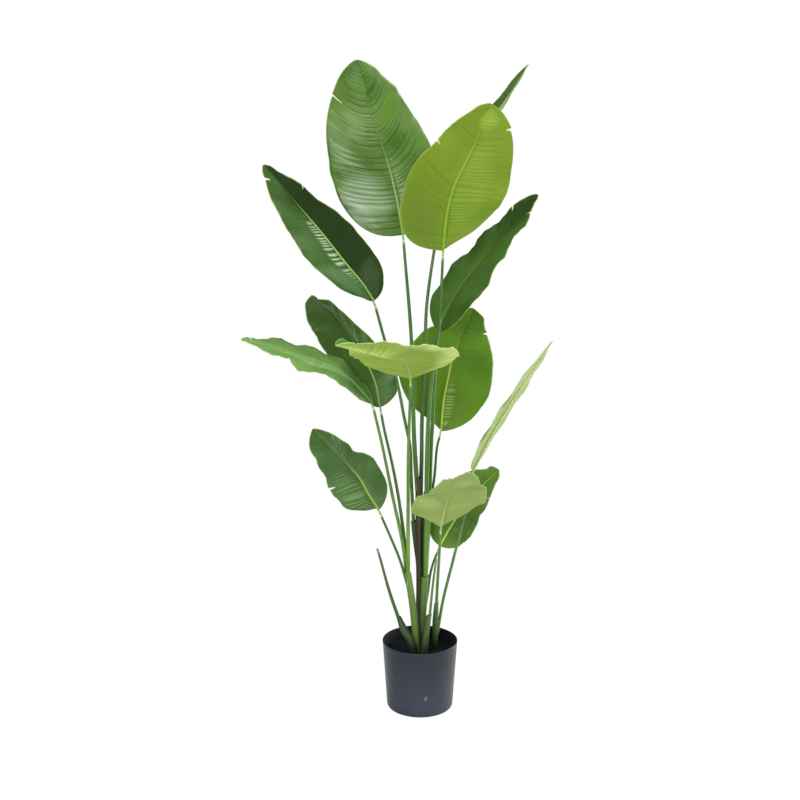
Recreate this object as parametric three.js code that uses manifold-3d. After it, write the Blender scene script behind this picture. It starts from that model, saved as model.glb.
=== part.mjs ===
// Potted bird of paradise: thirteen paddle leaves on thin stems, clasping sheaths, a short trunk
// and a pot. Millimetres, +Z up. The origin is the centre of the pot's underside, and the plant's
// front faces -Y.
import * as THREE from "three";
import { mergeVertices } from "three/addons/utils/BufferGeometryUtils.js";
import Module from "manifold-3d";

const wasm = await Module();
wasm.setup();

// Pot
const POT_HEIGHT = 165;
const POT_RIM_RADIUS = 90;
const POT_BASE_RADIUS = 79;
const POT_WALL = 2.4;
const POT_FLOOR = 4;
const POT_FOOT_ROUND = 5;
const POT_RIM_ROUND = 0.8;
const POT_SIDES = 48;

// Filling: its crown's height, how far its edge lies below that, and the gentle slope between
const FILL_TOP = 140;
const FILL_MOUND = 5;
const FILL_SLOPE_SHARE = 0.6;
const FILL_SLOPE_DROP = 1;
const FILL_EDGE_CHAMFER = 3;

// Fits: the gap between pieces that touch, and how deep a planted piece stands in the filling
const FIT_GAP = 0.3;
const PLANTED_DEPTH = 45;

// Stems, and the plug at a blade's foot that stands on the stem's end
const STEM_SIDES = 8;
const STEM_STEP = 75;
const STEM_RADII = [4.4, 3.1];
const PLUG_LENGTH = 17;
const PLUG_RADII = [2.7, 1.2];
const PLUG_STEPS = 3;
const PLUG_INTO_BLADE = 0.07;

// Sheaths
const SHEATH_SIDES = 12;
const SHEATH_STEP = 40;

// Blades: their mesh, the rib's flat top and its keel underneath
const BLADE_THICKNESS = 1.3;
const BLADE_STATIONS = 16;
const BLADE_COLUMNS = [0.36, 0.7, 1];
const BLADE_START = 0.004;
const END_STATION_CROWDING = 0.6;
const RIB_HALF_WIDTH = 4;
const RIB_WIDEST_SHARE = 0.25;
const RIB_KEELS = [4, 0.8];

// Blades: the outline's roundness below and above its widest place, as a power and the left and the
// right half's roots, how the veins sweep forward, how far the left edge's waves lag the right's
// (radians), a slit's width, and the least width of a half
const BASE_POWER = 2.2;
const BASE_ROOTS = [0.55, 0.55];
const TIP_POWER = 1.9;
const TIP_ROOTS = [0.74, 0.74];
const VEIN_SWEEP = 0.12;
const VEIN_BOW = 1.5;
const LEFT_WAVE_LAG = 1.7;
const SLIT_WIDTH = 7;
const LEAST_WIDTH = 0.5;

// Each leaf.
// rib: the midrib's course from the blade's foot to its tip
// face: which way the upper face looks at the foot and at the tip
// left, right: the halves' widths, seen on the upper face with the tip up
// widest: how far along the rib the left and the right half are widest
// base, tip: the halves' roots below and above their widest place, where they aren't the usual ones
// fold: degrees that the halves stand up from flat at the foot, the middle and the tip
// leftFold: the left half's own fold, where it has one
// curl: degrees that a half bends on between the rib and its edge, at the foot and at the tip
// wave, waves, phase: the edge's ripple, as its height, number and start (radians)
// slits: the cuts in the edge, as [side, place along the rib], with side -1 for left
// bulges: where the edge stands out from the even outline, or in, as [side, place, by how much,
// half of the stretch as a share of the rib]
// underToFront: the blade shows its underside to the front
const LEAVES = {
  leaf_01: {
    rib: [[-41, 40, 1127], [-57, 55, 1214], [-78, 75, 1296], [-106, 100, 1378], [-150, 150, 1526]],
    face: [[-0.1, -1, 0.2], [0.1, -1, 0.3]],
    left: 130, right: 108, widest: [0.41, 0.34], base: [0.38, 0.5], tip: [0.68, 0.68],
    fold: [12, 10, 8], curl: [-22, -22],
    wave: 4, waves: 3, phase: 0, slits: [[-1, 0.82]],
    bulges: [
      [-1, 0.27, 5, 0.12], [-1, 0.44, 4, 0.06], [-1, 0.12, 2, 0.08], [-1, 0.93, 2, 0.04],
      [1, 0.68, -3, 0.14], [1, 0.48, -2, 0.05], [1, 0.8, 4, 0.04], [1, 0.94, 4, 0.04],
    ],
  },
  leaf_02: {
    rib: [
      [48, -40, 1094], [55, -60, 1175], [69, -85, 1235],
      [92, -115, 1285], [112, -140, 1330], [136, -185, 1402],
    ],
    face: [[0, 1, 0.3], [0.1, 1, 0.5]],
    left: 107, right: 105, widest: [0.46, 0.3], base: [0.85, 0.3], tip: [0.6, 0.85],
    fold: [8, 6, 5], curl: [-20, -20],
    wave: 5, waves: 3, phase: 1, slits: [[-1, 0.86], [1, 0.66]],
    underToFront: true,
    bulges: [
      [-1, 0.05, -9, 0.06], [-1, 0.38, 3, 0.1], [-1, 0.54, 4, 0.07], [-1, 0.75, -2, 0.1],
      [1, 0.84, 5, 0.08], [1, 0.65, -5, 0.07], [1, 0.96, 4, 0.03],
    ],
  },
  leaf_03: {
    rib: [[54, 100, 1228], [107, 140, 1325], [187, 170, 1422], [257, 200, 1523]],
    face: [[-0.78, -0.2, 0.57], [-0.78, -0.15, 0.57]],
    left: 78, right: 78, widest: [0.4, 0.4],
    fold: [15, 12, 10], curl: [-15, -15],
    wave: 4, waves: 4, phase: 2, slits: [],
  },
  leaf_04: {
    rib: [
      [-107, -20, 981], [-132, -12, 1019], [-168, 0, 1061],
      [-216, 12, 1121], [-256, 20, 1168], [-355, 20, 1283],
    ],
    face: [[0.25, -0.9, 0.35], [0.25, -0.9, 0.35]],
    left: 85, right: 65, widest: [0.42, 0.22], base: [0.55, 0.45], tip: [0.8, 0.8],
    fold: [36, 30, 23], curl: [-14, -14],
    wave: 5, waves: 4, phase: 0.5, slits: [[-1, 0.93], [1, 0.76]],
    bulges: [
      [-1, 0.04, -7, 0.03], [-1, 0.16, 4, 0.07], [-1, 0.44, 4, 0.05], [-1, 0.59, -4, 0.06],
      [-1, 0.97, 4, 0.03], [1, 0.06, -6, 0.06], [1, 0.42, 5, 0.06], [1, 0.66, -3, 0.1],
      [1, 0.97, 3, 0.03],
    ],
  },
  leaf_05: {
    rib: [
      [40, 38, 906], [60, 48, 952], [94, 60, 1009],
      [138, 75, 1063], [187, 90, 1122], [274, 110, 1218],
    ],
    face: [[-0.6, -0.6, 0.4], [-0.7, -0.5, 0.4]],
    left: 57, right: 81, widest: [0.26, 0.32], base: [0.75, 0.34], tip: [0.52, 0.72],
    fold: [20, 16, 13], curl: [-12, -12],
    wave: 6, waves: 4, phase: 2.5, slits: [[-1, 0.87], [1, 0.88]],
    bulges: [
      [-1, 0.49, -2, 0.1], [-1, 0.68, -6, 0.07], [-1, 0.81, 2, 0.05], [-1, 0.97, 4, 0.03],
      [1, 0.25, 12, 0.1], [1, 0.39, 6, 0.06], [1, 0.62, -8, 0.06], [1, 0.77, 6, 0.06],
      [1, 0.88, -3, 0.04], [1, 0.97, 5, 0.03],
    ],
  },
  leaf_06: {
    rib: [[-95, 50, 724], [-109, 62, 789], [-166, 85, 889], [-207, 100, 940], [-260, 115, 981]],
    face: [[-0.3, -0.9, 0.5], [0.1, -0.9, 0.5]],
    left: 75, right: 50, widest: [0.72, 0.16], tip: [0.38, 1.25],
    fold: [24, 20, 16], curl: [-12, -12],
    wave: 5, waves: 4, phase: 0, slits: [[1, 0.95]],
    bulges: [
      [-1, 0.72, -3, 0.05], [-1, 0.84, -4, 0.08], [-1, 0.95, -6, 0.04], [1, 0.1, 7, 0.06],
      [1, 0.26, 6, 0.07], [1, 0.6, -4, 0.08], [1, 0.88, 9, 0.06], [1, 0.98, 4, 0.03],
    ],
  },
  leaf_07: {
    rib: [
      [-112, -10, 745], [-140, -20, 779], [-184, -38, 824],
      [-250, -55, 853], [-320, -70, 880], [-400, -85, 900],
    ],
    face: [[0.5, -0.3, 0.8], [0, -0.32, 0.94]],
    left: 47, right: 80, widest: [0.42, 0.42], tip: [0.74, 0.85],
    fold: [4, 4, 3], curl: [-24, -24],
    wave: 5, waves: 4, phase: 1, slits: [[-1, 0.7], [1, 0.95]],
    bulges: [
      [-1, 0.2, 6, 0.08], [-1, 0.36, -6, 0.06], [-1, 0.62, 9, 0.05], [-1, 0.86, -4, 0.05],
      [1, 0.6, -4, 0.06], [1, 0.8, -8, 0.08], [1, 0.95, 8, 0.05],
    ],
  },
  leaf_08: {
    rib: [[-24, -70, 811], [-31, -130, 848], [-42, -195, 872], [-82, -270, 888], [-175, -345, 922]],
    face: [[0.1, 0.6, 0.8], [0, 0.2, 1]],
    left: 116, right: 112, widest: [0.32, 0.4], base: [0.55, 0.36],
    fold: [11, 16, 42], leftFold: [24, 16, 17], curl: [-16, -16],
    wave: 3, waves: 5, phase: 0, slits: [[-1, 0.93]],
    underToFront: true,
  },
  leaf_09: {
    rib: [
      [50, 66, 663], [57, 84, 735], [67, 98, 784],
      [76, 112, 823], [91, 126, 862], [129, 168, 947],
    ],
    face: [[0.1, -0.95, 0.3], [0.2, -0.95, 0.3]],
    left: 118, right: 107, widest: [0.42, 0.45], base: [1.1, 0.62], tip: [1, 0.74],
    fold: [12, 10, 8], curl: [-16, -16],
    wave: 4, waves: 3, phase: 2, slits: [[1, 0.86]],
    bulges: [
      [-1, 0.07, -8, 0.05], [-1, 0.42, 6, 0.12], [-1, 0.6, -6, 0.06], [-1, 0.8, -14, 0.1],
      [-1, 0.98, 4, 0.03], [1, 0.1, 5, 0.09], [1, 0.88, -3, 0.04], [1, 0.96, 9, 0.03],
    ],
  },
  leaf_10: {
    rib: [[122, -20, 589], [166, -50, 690], [215, -80, 783], [285, -120, 903]],
    face: [[-0.82, 0.4, 0.5], [-0.82, 0.35, 0.5]],
    left: 61, right: 61, widest: [0.55, 0.55],
    fold: [10, 8, 6], curl: [-16, -16],
    wave: 4, waves: 4, phase: 1, slits: [],
    underToFront: true,
  },
  leaf_11: {
    rib: [
      [-97, -40, 498], [-121, -42, 537], [-142, -42, 575],
      [-170, -42, 608], [-202, -42, 641], [-247, -42, 691],
    ],
    face: [[0.3, -0.9, 0.3], [0.2, -0.9, 0.35]],
    left: 73, right: 54, widest: [0.42, 0.26], base: [0.95, 0.7], tip: [0.64, 0.75],
    fold: [14, 12, 9], curl: [-20, -20],
    wave: 4, waves: 3, phase: 0, slits: [[-1, 0.5]],
    bulges: [
      [-1, 0.03, -8, 0.03], [-1, 0.2, 9, 0.07], [-1, 0.36, 2, 0.08], [-1, 0.62, -9, 0.1],
      [-1, 0.78, -8, 0.06], [-1, 0.93, 3, 0.05], [1, 0.42, 3, 0.04], [1, 0.58, -12, 0.06],
      [1, 0.72, -5, 0.08],
    ],
  },
  leaf_12: {
    rib: [
      [45, -90, 472], [49, -110, 502], [52, -145, 535],
      [58, -185, 567], [67, -230, 603], [88, -300, 653],
    ],
    face: [[0, 0.9, 0.5], [0, 0.5, 0.8]],
    left: 81, right: 74, widest: [0.5, 0.22], base: [1.15, 0.28], tip: [0.74, 1.2],
    fold: [8, 6, 5], curl: [-12, -12],
    wave: 5, waves: 3, phase: 0, slits: [],
    underToFront: true,
    bulges: [
      [-1, 0.82, -6, 0.06], [1, 0.03, -36, 0.06], [1, 0.52, -12, 0.08], [1, 0.68, -8, 0.06],
      [1, 0.8, -6, 0.06],
    ],
  },
  leaf_13: {
    rib: [[48, 30, 389], [72, 45, 429], [102, 60, 470], [141, 80, 514], [192, 100, 560]],
    face: [[-0.2, -0.95, 0.3], [-0.2, -0.95, 0.4]],
    left: 62, right: 53, widest: [0.45, 0.3], base: [0.45, 0.45], tip: [0.6, 0.85],
    fold: [14, 12, 9], curl: [-14, -14],
    wave: 4, waves: 3, phase: 0, slits: [[1, 0.7]],
    bulges: [
      [-1, 0.62, 5, 0.08], [-1, 0.9, -7, 0.05], [-1, 0.97, 4, 0.03], [1, 0.07, 3, 0.04],
      [1, 0.2, 2, 0.08], [1, 0.49, -5, 0.06], [1, 0.95, 5, 0.05],
    ],
  },
};

// Each stem's course from its foot up, and its radii at its foot and its top where they aren't the
// usual ones. A stem that carries a leaf goes on to the blade's foot; the two stubs carry none. A
// planted stem stands in the filling, and the others stand in a sheath or in the trunk.
const STEMS = {
  stem_01: {
    course: [[-7, -6, 537], [-14, 6, 638], [-17, 14, 720], [-21, 26, 877]],
    leaf: "leaf_01",
    radii: [5.8, 3.1],
  },
  stem_02: {
    course: [[15, -9, 497], [15, -14, 608], [18, -20, 714], [26, -28, 817], [41, -33, 935]],
    leaf: "leaf_02",
    radii: [6, 3],
  },
  stem_03: {
    course: [[1, 7, 537], [3, 18, 610], [4, 38, 702], [11, 66, 872], [16, 80, 974]],
    leaf: "leaf_03",
    radii: [5, 3.1],
  },
  stem_04: {
    course: [
      [-14.5, 10, 425], [-21.5, 12, 560], [-25, 10, 640],
      [-38, -8, 709], [-57, -26, 809], [-82, -28, 891],
    ],
    leaf: "leaf_04",
    radii: [4.2, 3.1],
  },
  stem_05: {
    course: [[21, 4, 497], [25, 12, 637], [29, 18, 706], [34, 27, 809]],
    leaf: "leaf_05",
    radii: [5.4, 3.1],
  },
  stem_06: {
    course: [[-30, 0, 310], [-35, 5, 387], [-51, 16, 510], [-66, 26, 590], [-86, 38, 677]],
    leaf: "leaf_06",
  },
  stem_07: {
    course: [[-32, -8, 310], [-36, -10, 367], [-46, -11, 432], [-62, -12, 507], [-90, -12, 649]],
    leaf: "leaf_07",
  },
  stem_08: {
    course: [[-29, -30, 310], [-29, -42, 509], [-29, -50, 620], [-26, -55, 737]],
    leaf: "leaf_08",
    radii: [5, 2.9],
  },
  stem_09: {
    course: [[22, 16, 497], [33, 26, 556], [40, 46, 628]],
    leaf: "leaf_09",
    radii: [3.4, 2.8],
  },
  stem_10: {
    course: [[42, -1, 182], [55, -4, 266], [78, -8, 367], [104, -15, 484]],
    leaf: "leaf_10",
    radii: [3.8, 2.9],
  },
  stem_11: { course: [[-32, -19, 314], [-48, -28, 373]], leaf: "leaf_11", radii: [3.4, 2.8] },
  stem_12: {
    course: [[37.5, -15, 232], [38.5, -22, 262], [40, -45, 325], [42, -70, 387]],
    leaf: "leaf_12",
    radii: [3.8, 3],
  },
  stem_13: {
    course: [[12, 32, 95], [13, 32, 225], [19, 31, 270], [25, 31, 318], [33, 30, 350]],
    leaf: "leaf_13",
    radii: [3.8, 2.8],
    planted: true,
  },
  stub_left: {
    course: [[-41, -38, 208], [-52, -36, 235], [-74, -38, 303], [-94, -40, 380], [-101, -42, 405]],
    radii: [4.6, 2.5],
  },
  stub_right: { course: [[20, -29, 205], [29, -18, 300], [38, -10, 371]], radii: [3.3, 2.4] },
};

// The trunk and the sheaths round it.
// course: the centre line from the filling, or from inside the sheath below, to the top
// size: the half widths across and from front to back, evenly spread from foot to top
// holds: the stems that stand in it, each in a socket
// clasps: the sheaths that it wraps, or stands against, and is cut by
// planted: it goes on down into the filling
const SHEATHS = {
  trunk_core: {
    course: [[-3, 0, 140], [-3, 0, 221], [-3, 0, 314], [-4, 0, 438], [-3, 0, 565]],
    size: [[8, 9], [6.6, 9], [6.4, 9], [8, 11], [9.5, 12.5]],
    holds: ["stem_01", "stem_03"],
    clasps: [],
    planted: true,
    finish: "trunk",
  },
  trunk_sheath_dark: {
    course: [[-4, 16, 140], [-1, 15, 300], [-2, 13, 355], [-11.5, 10, 425], [-15.5, 10, 456]],
    size: [[7, 6], [6.5, 7], [8.5, 8], [9, 8], [7, 7.5]],
    holds: ["stem_04"],
    clasps: ["trunk_core"],
    planted: true,
    finish: "dark",
  },
  trunk_sheath_lower: {
    course: [[5, 1, 140], [5, 1, 213], [7.5, 2, 263], [10.5, 3, 324]],
    size: [[9.5, 13], [9.5, 13.5], [9.8, 14], [10.5, 15]],
    holds: [],
    clasps: ["trunk_core", "trunk_sheath_dark", "trunk_sheath_upper"],
    planted: true,
    finish: "sheath",
  },
  trunk_sheath_upper: {
    course: [[11, 4, 292], [12, 4, 362], [14, 4, 436], [19, 3.5, 526]],
    size: [[7, 11], [8.5, 12.5], [10.5, 15.5], [11.5, 18.5]],
    holds: ["stem_02", "stem_05", "stem_09"],
    clasps: ["trunk_core", "trunk_sheath_dark"],
    planted: false,
    finish: "sheath",
  },
  sheath_left: {
    course: [[-8, -24, 140], [-14, -25, 224], [-19.5, -24, 273], [-30, -15, 338]],
    size: [[8.5, 9], [8.5, 10], [8.5, 12], [8, 20]],
    holds: ["stem_06", "stem_07", "stem_08", "stem_11"],
    clasps: [],
    planted: true,
    finish: "sheath",
  },
  sheath_stub: {
    course: [[-16, -41, 140], [-24, -41, 180], [-39, -38, 206], [-51, -36, 236]],
    size: [[7, 5], [9, 5.5], [10, 6], [5.5, 5.5]],
    holds: ["stub_left"],
    clasps: ["sheath_left"],
    planted: true,
    finish: "sheath",
  },
  sheath_bract: {
    course: [[0, -15, 140], [-5, -14, 222], [-9, -13, 272]],
    size: [[6, 3], [4, 2.5], [1.2, 1.2]],
    holds: [],
    clasps: ["trunk_core", "trunk_sheath_lower", "sheath_left"],
    planted: true,
    finish: "trunk",
  },
  sheath_right: {
    course: [[8, -40, 140], [10, -38, 165], [14, -33, 195], [20, -25, 234]],
    size: [[9, 6], [9, 6.5], [7.5, 8], [6.5, 11.5]],
    holds: ["stub_right"],
    clasps: [],
    planted: true,
    finish: "sheath",
  },
  sheath_far_right: {
    course: [[35, 0, 140], [36, -5, 177], [37, -12, 222], [38.5, -20, 262]],
    size: [[6, 8], [7.5, 10], [7, 9], [5.2, 5.5]],
    holds: ["stem_10", "stem_12"],
    clasps: [],
    planted: true,
    finish: "sheath",
  },
};

const finish = (color, roughness) => new THREE.MeshStandardMaterial({ color, roughness, metalness: 0 });
const FINISHES = {
  upper: finish(0x4b7a33, 0.42),
  under: finish(0x8aa844, 0.5),
  stem: finish(0x47782f, 0.5),
  sheath: finish(0x6d8f45, 0.55),
  dark: finish(0x35552a, 0.55),
  trunk: finish(0x54492f, 0.7),
  pot: finish(0x2b3036, 0.45),
  filling: finish(0x33372f, 0.95),
};

const FRONT_TO_BACK = new THREE.Vector3(0, 1, 0);
const radians = THREE.MathUtils.degToRad;
const lerp = THREE.MathUtils.lerp;
const vector = ([x, y, z]) => new THREE.Vector3(x, y, z);
const spline = (points) => new THREE.CatmullRomCurve3(points, false, "centripetal");

// The value at t of the smooth course through three values, at 0, a half and 1
function through([start, middle, end], t) {
  return start * (1 - t) * (1 - 2 * t) + 4 * middle * t * (1 - t) + end * t * (2 * t - 1);
}

// The pair of values at t along a list of evenly spread pairs
function between(pairs, t) {
  const place = t * (pairs.length - 1);
  const start = Math.min(Math.floor(place), pairs.length - 2);
  return pairs[start].map((value, k) => lerp(value, pairs[start + 1][k], place - start));
}

function toSolid(geometry) {
  const bare = geometry.clone();
  for (const name of Object.keys(bare.attributes)) {
    if (name !== "position") bare.deleteAttribute(name);
  }
  const merged = mergeVertices(bare, 1e-4);
  const vertProperties = new Float32Array(merged.attributes.position.array);
  const triVerts = new Uint32Array(merged.index.array);
  return new wasm.Manifold(new wasm.Mesh({ numProp: 3, vertProperties, triVerts }));
}

function meshGeometry(positions, index) {
  const geometry = new THREE.BufferGeometry();
  geometry.setAttribute("position", new THREE.Float32BufferAttribute(positions, 3));
  geometry.setIndex(index);
  geometry.computeVertexNormals();
  return geometry;
}

function toGeometry(solid) {
  const mesh = solid.getMesh();
  return meshGeometry(Array.from(mesh.vertProperties), Array.from(mesh.triVerts));
}

// A closed body lofted along a curve. size(t) gives the section's half widths across and from
// front to back, and `grow` makes the body larger all round, as for the room that it needs.
function loft(curve, steps, sides, size, grow = 0) {
  const positions = [];
  const centres = [];
  for (let i = 0; i <= steps; i += 1) {
    const along = curve.getTangentAt(i / steps);
    const deep = FRONT_TO_BACK.clone().addScaledVector(along, -along.dot(FRONT_TO_BACK)).normalize();
    const across = new THREE.Vector3().crossVectors(deep, along);
    const end = i === 0 ? -1 : Number(i === steps);
    const centre = curve.getPointAt(i / steps).addScaledVector(along, end * grow);
    const [halfAcross, halfDeep] = size(i / steps);
    for (let k = 0; k < sides; k += 1) {
      const angle = (2 * Math.PI * k) / sides;
      const spot = centre.clone();
      spot.addScaledVector(across, (halfAcross + grow) * Math.cos(angle));
      spot.addScaledVector(deep, (halfDeep + grow) * Math.sin(angle));
      positions.push(...spot.toArray());
    }
    centres.push(centre);
  }
  positions.push(...centres[0].toArray(), ...centres[steps].toArray());
  const footCentre = (steps + 1) * sides;
  const topCentre = footCentre + 1;
  const index = [];
  for (let k = 0; k < sides; k += 1) {
    const next = (k + 1) % sides;
    for (let i = 0; i < steps; i += 1) {
      const low = i * sides;
      const high = low + sides;
      index.push(low + k, low + next, high + next, low + k, high + next, high + k);
    }
    index.push(footCentre, next, k, topCentre, steps * sides + k, steps * sides + next);
  }
  return meshGeometry(positions, index);
}

// A blade's surface, as a sheet over its rib
class Blade {
  constructor(leaf) {
    this.leaf = leaf;
    this.rib = spline(leaf.rib.map(vector));
    this.faces = leaf.face.map(vector);
  }

  // The rib's point at t, with the directions along it, up from the upper face and to the right
  frame(t) {
    const place = THREE.MathUtils.clamp(t, 0, 1);
    const point = this.rib.getPointAt(place);
    const along = this.rib.getTangentAt(place);
    const up = this.faces[0].clone().lerp(this.faces[1], place);
    up.addScaledVector(along, -up.dot(along)).normalize();
    const right = new THREE.Vector3().crossVectors(along, up);
    return { point, along, up, right };
  }

  reach(side) {
    return side < 0 ? this.leaf.left : this.leaf.right;
  }

  // A half's width at t
  width(t, side) {
    const half = side < 0 ? 0 : 1;
    const { widest, base = BASE_ROOTS, tip = TIP_ROOTS, bulges = [] } = this.leaf;
    const [away, power, root] = t < widest[half]
      ? [(widest[half] - t) / widest[half], BASE_POWER, base[half]]
      : [(t - widest[half]) / (1 - widest[half]), TIP_POWER, tip[half]];
    let width = this.reach(side) * Math.max(1 - Math.min(away, 1) ** power, 0) ** root;
    for (const [edge, place, amount, spread] of bulges) {
      if (edge === side) width += amount * Math.exp(-(((t - place) / spread) ** 2));
    }
    return Math.max(width, LEAST_WIDTH);
  }

  // Where along the rib a vein from `start` has got to, `share` of its way out to the edge
  veinPlace(start, share) {
    return start + VEIN_SWEEP * share ** VEIN_BOW * Math.sin(Math.PI * start);
  }

  // The sheet's point on the vein from `start` on one side, `share` of its way out, pulled along
  // the rib by `pull`
  point(start, side, share, pull = 0) {
    const { leaf } = this;
    const t = this.veinPlace(start, share);
    const edge = this.veinPlace(start, 1);
    const away = share * this.width(edge, side);
    const fold = radians(through((side < 0 && leaf.leftFold) || leaf.fold, t));
    const bend = (radians(lerp(...leaf.curl, t)) * away) / this.reach(side);
    const slope = fold + bend / 2;
    const chord = away === 0 ? 0 : (away * Math.sin(bend / 2)) / (bend / 2);
    const turn = 2 * Math.PI * leaf.waves * edge + leaf.phase + (side < 0 ? LEFT_WAVE_LAG : 0);
    const lift = leaf.wave * share ** 2 * Math.sin(turn) * Math.sqrt(Math.sin(Math.PI * start));
    const frame = this.frame(t);
    return frame.point
      .addScaledVector(frame.right, side * chord * Math.cos(slope))
      .addScaledVector(frame.up, chord * Math.sin(slope) + lift)
      .addScaledVector(frame.along, pull);
  }
}

// Where the rows of a blade's mesh leave the rib, crowded towards both ends
function stationPlaces() {
  return Array.from({ length: BLADE_STATIONS }, (_, i) => {
    const even = i / (BLADE_STATIONS - 1);
    const crowded = 0.5 - 0.5 * Math.cos(Math.PI * even);
    const place = lerp(even, crowded, END_STATION_CROWDING);
    return lerp(BLADE_START, 1 - BLADE_START, place);
  });
}

// A blade of even thickness with a keel under its rib and narrow slits in its edge
function bladeGeometry(blade) {
  const starts = stationPlaces();
  const spots = starts.map((start) => blade.point(start, 1, 0));
  const keels = starts.map((start) => lerp(...RIB_KEELS, start));
  const add = (spot) => {
    keels.push(0);
    return spots.push(spot) - 1;
  };
  const triangles = [];
  for (const side of [-1, 1]) {
    const cuts = blade.leaf.slits.filter(([half]) => half === side).map(([, place]) => {
      const misses = starts.map((start) => Math.abs(blade.veinPlace(start, 1) - place));
      return misses.indexOf(Math.min(...misses));
    });
    const rows = starts.map((start, i) => {
      const width = blade.width(blade.veinPlace(start, 1), side);
      const shares = [Math.min(RIB_HALF_WIDTH / width, RIB_WIDEST_SHARE), ...BLADE_COLUMNS];
      const below = [i, ...shares.map((share) => add(blade.point(start, side, share)))];
      const above = [...below];
      if (cuts.includes(i)) {
        spots[below.at(-1)] = blade.point(start, side, 1, -SLIT_WIDTH / 2);
        above[above.length - 1] = add(blade.point(start, side, 1, SLIT_WIDTH / 2));
      }
      return { below, above };
    });
    for (let i = 0; i + 1 < rows.length; i += 1) {
      const low = rows[i].above;
      const high = rows[i + 1].below;
      for (let k = 0; k + 1 < low.length; k += 1) {
        const [a, b, c, d] = [low[k], low[k + 1], high[k + 1], high[k]];
        const pair = [[a, b, c], [a, c, d]];
        triangles.push(...(side > 0 ? pair : pair.map(([p, q, r]) => [p, r, q])));
      }
    }
  }
  return thicken(spots, triangles, keels);
}

// Gives a sheet of triangles its thickness, half on each face, and closes it along its free edges
function thicken(spots, triangles, keels) {
  const normals = spots.map(() => new THREE.Vector3());
  const edges = new Map();
  for (const [a, b, c] of triangles) {
    const ab = spots[b].clone().sub(spots[a]);
    const ac = spots[c].clone().sub(spots[a]);
    const normal = ab.cross(ac);
    for (const corner of [a, b, c]) normals[corner].add(normal);
    for (const [p, q] of [[a, b], [b, c], [c, a]]) edges.set(`${p} ${q}`, [p, q]);
  }
  normals.forEach((normal) => normal.normalize());
  const half = BLADE_THICKNESS / 2;
  const upper = spots.map((spot, i) => spot.clone().addScaledVector(normals[i], half));
  const under = spots.map((spot, i) => spot.clone().addScaledVector(normals[i], -half - keels[i]));
  const count = spots.length;
  const index = triangles.flatMap(([a, b, c]) => [a, b, c, count + a, count + c, count + b]);
  for (const [p, q] of edges.values()) {
    if (!edges.has(`${q} ${p}`)) index.push(q, p, count + p, q, count + p, count + q);
  }
  return meshGeometry([...upper, ...under].flatMap((spot) => spot.toArray()), index);
}

// A stem's centre line: its listed points and, under a leaf, one a plug's length short of the blade
function stemCurve({ course, leaf }) {
  const points = course.map(vector);
  if (leaf) {
    const foot = vector(LEAVES[leaf].rib[0]);
    const heading = foot.clone().sub(points.at(-1)).normalize();
    points.push(foot.addScaledVector(heading, -PLUG_LENGTH));
  }
  return spline(points);
}

function stemGeometry(stem, grow = 0) {
  const curve = stemCurve(stem);
  const steps = Math.max(3, Math.round(curve.getLength() / STEM_STEP));
  const [foot, top] = stem.radii ?? STEM_RADII;
  const size = (t) => [lerp(foot, top, t), lerp(foot, top, t)];
  return loft(curve, steps, STEM_SIDES, size, grow);
}

// The blade, with the plug that runs from its stem's end into the keel under its rib
function leafGeometry(name) {
  const blade = new Blade(LEAVES[name]);
  const stem = Object.values(STEMS).find(({ leaf }) => leaf === name);
  const stemTop = stemCurve(stem).getPoint(1);
  const foot = blade.rib.getPointAt(0);
  const heading = foot.clone().sub(stemTop).normalize();
  const start = stemTop.addScaledVector(heading, FIT_GAP);
  const { point, up } = blade.frame(PLUG_INTO_BLADE);
  const end = point.addScaledVector(up, -RIB_KEELS[0] / 2);
  const size = (t) => [lerp(...PLUG_RADII, t), lerp(...PLUG_RADII, t)];
  const curve = new THREE.QuadraticBezierCurve3(start, foot, end);
  const plug = toSolid(loft(curve, PLUG_STEPS, STEM_SIDES, size));
  return toGeometry(toSolid(bladeGeometry(blade)).add(plug));
}

// A sheath's outer body. A planted one starts straight up from inside the filling.
function sheathBody({ course, size, planted }, grow = 0) {
  const points = course.map(vector);
  if (planted) points.unshift(points[0].clone().setZ(FILL_TOP - PLANTED_DEPTH));
  const sizes = planted ? [size[0], ...size] : size;
  const curve = spline(points);
  const steps = Math.round(curve.getLength() / SHEATH_STEP);
  return toSolid(loft(curve, steps, SHEATH_SIDES, (t) => between(sizes, t), grow));
}

// A sheath cut clear of its neighbours, with a socket for each stem; a cut-off scrap is dropped
function sheathGeometry(sheath) {
  let body = sheathBody(sheath);
  for (const name of sheath.clasps) body = body.subtract(sheathBody(SHEATHS[name], FIT_GAP));
  for (const name of sheath.holds) body = body.subtract(toSolid(stemGeometry(STEMS[name], FIT_GAP)));
  const [largest] = body.decompose().sort((a, b) => b.volume() - a.volume());
  return toGeometry(largest);
}

function potRadius(z) {
  return lerp(POT_BASE_RADIUS, POT_RIM_RADIUS, z / POT_HEIGHT);
}

function revolve(profile) {
  const points = profile.map(([x, z]) => new THREE.Vector2(x, z));
  return toSolid(new THREE.LatheGeometry(points, POT_SIDES).rotateX(Math.PI / 2));
}

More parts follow.
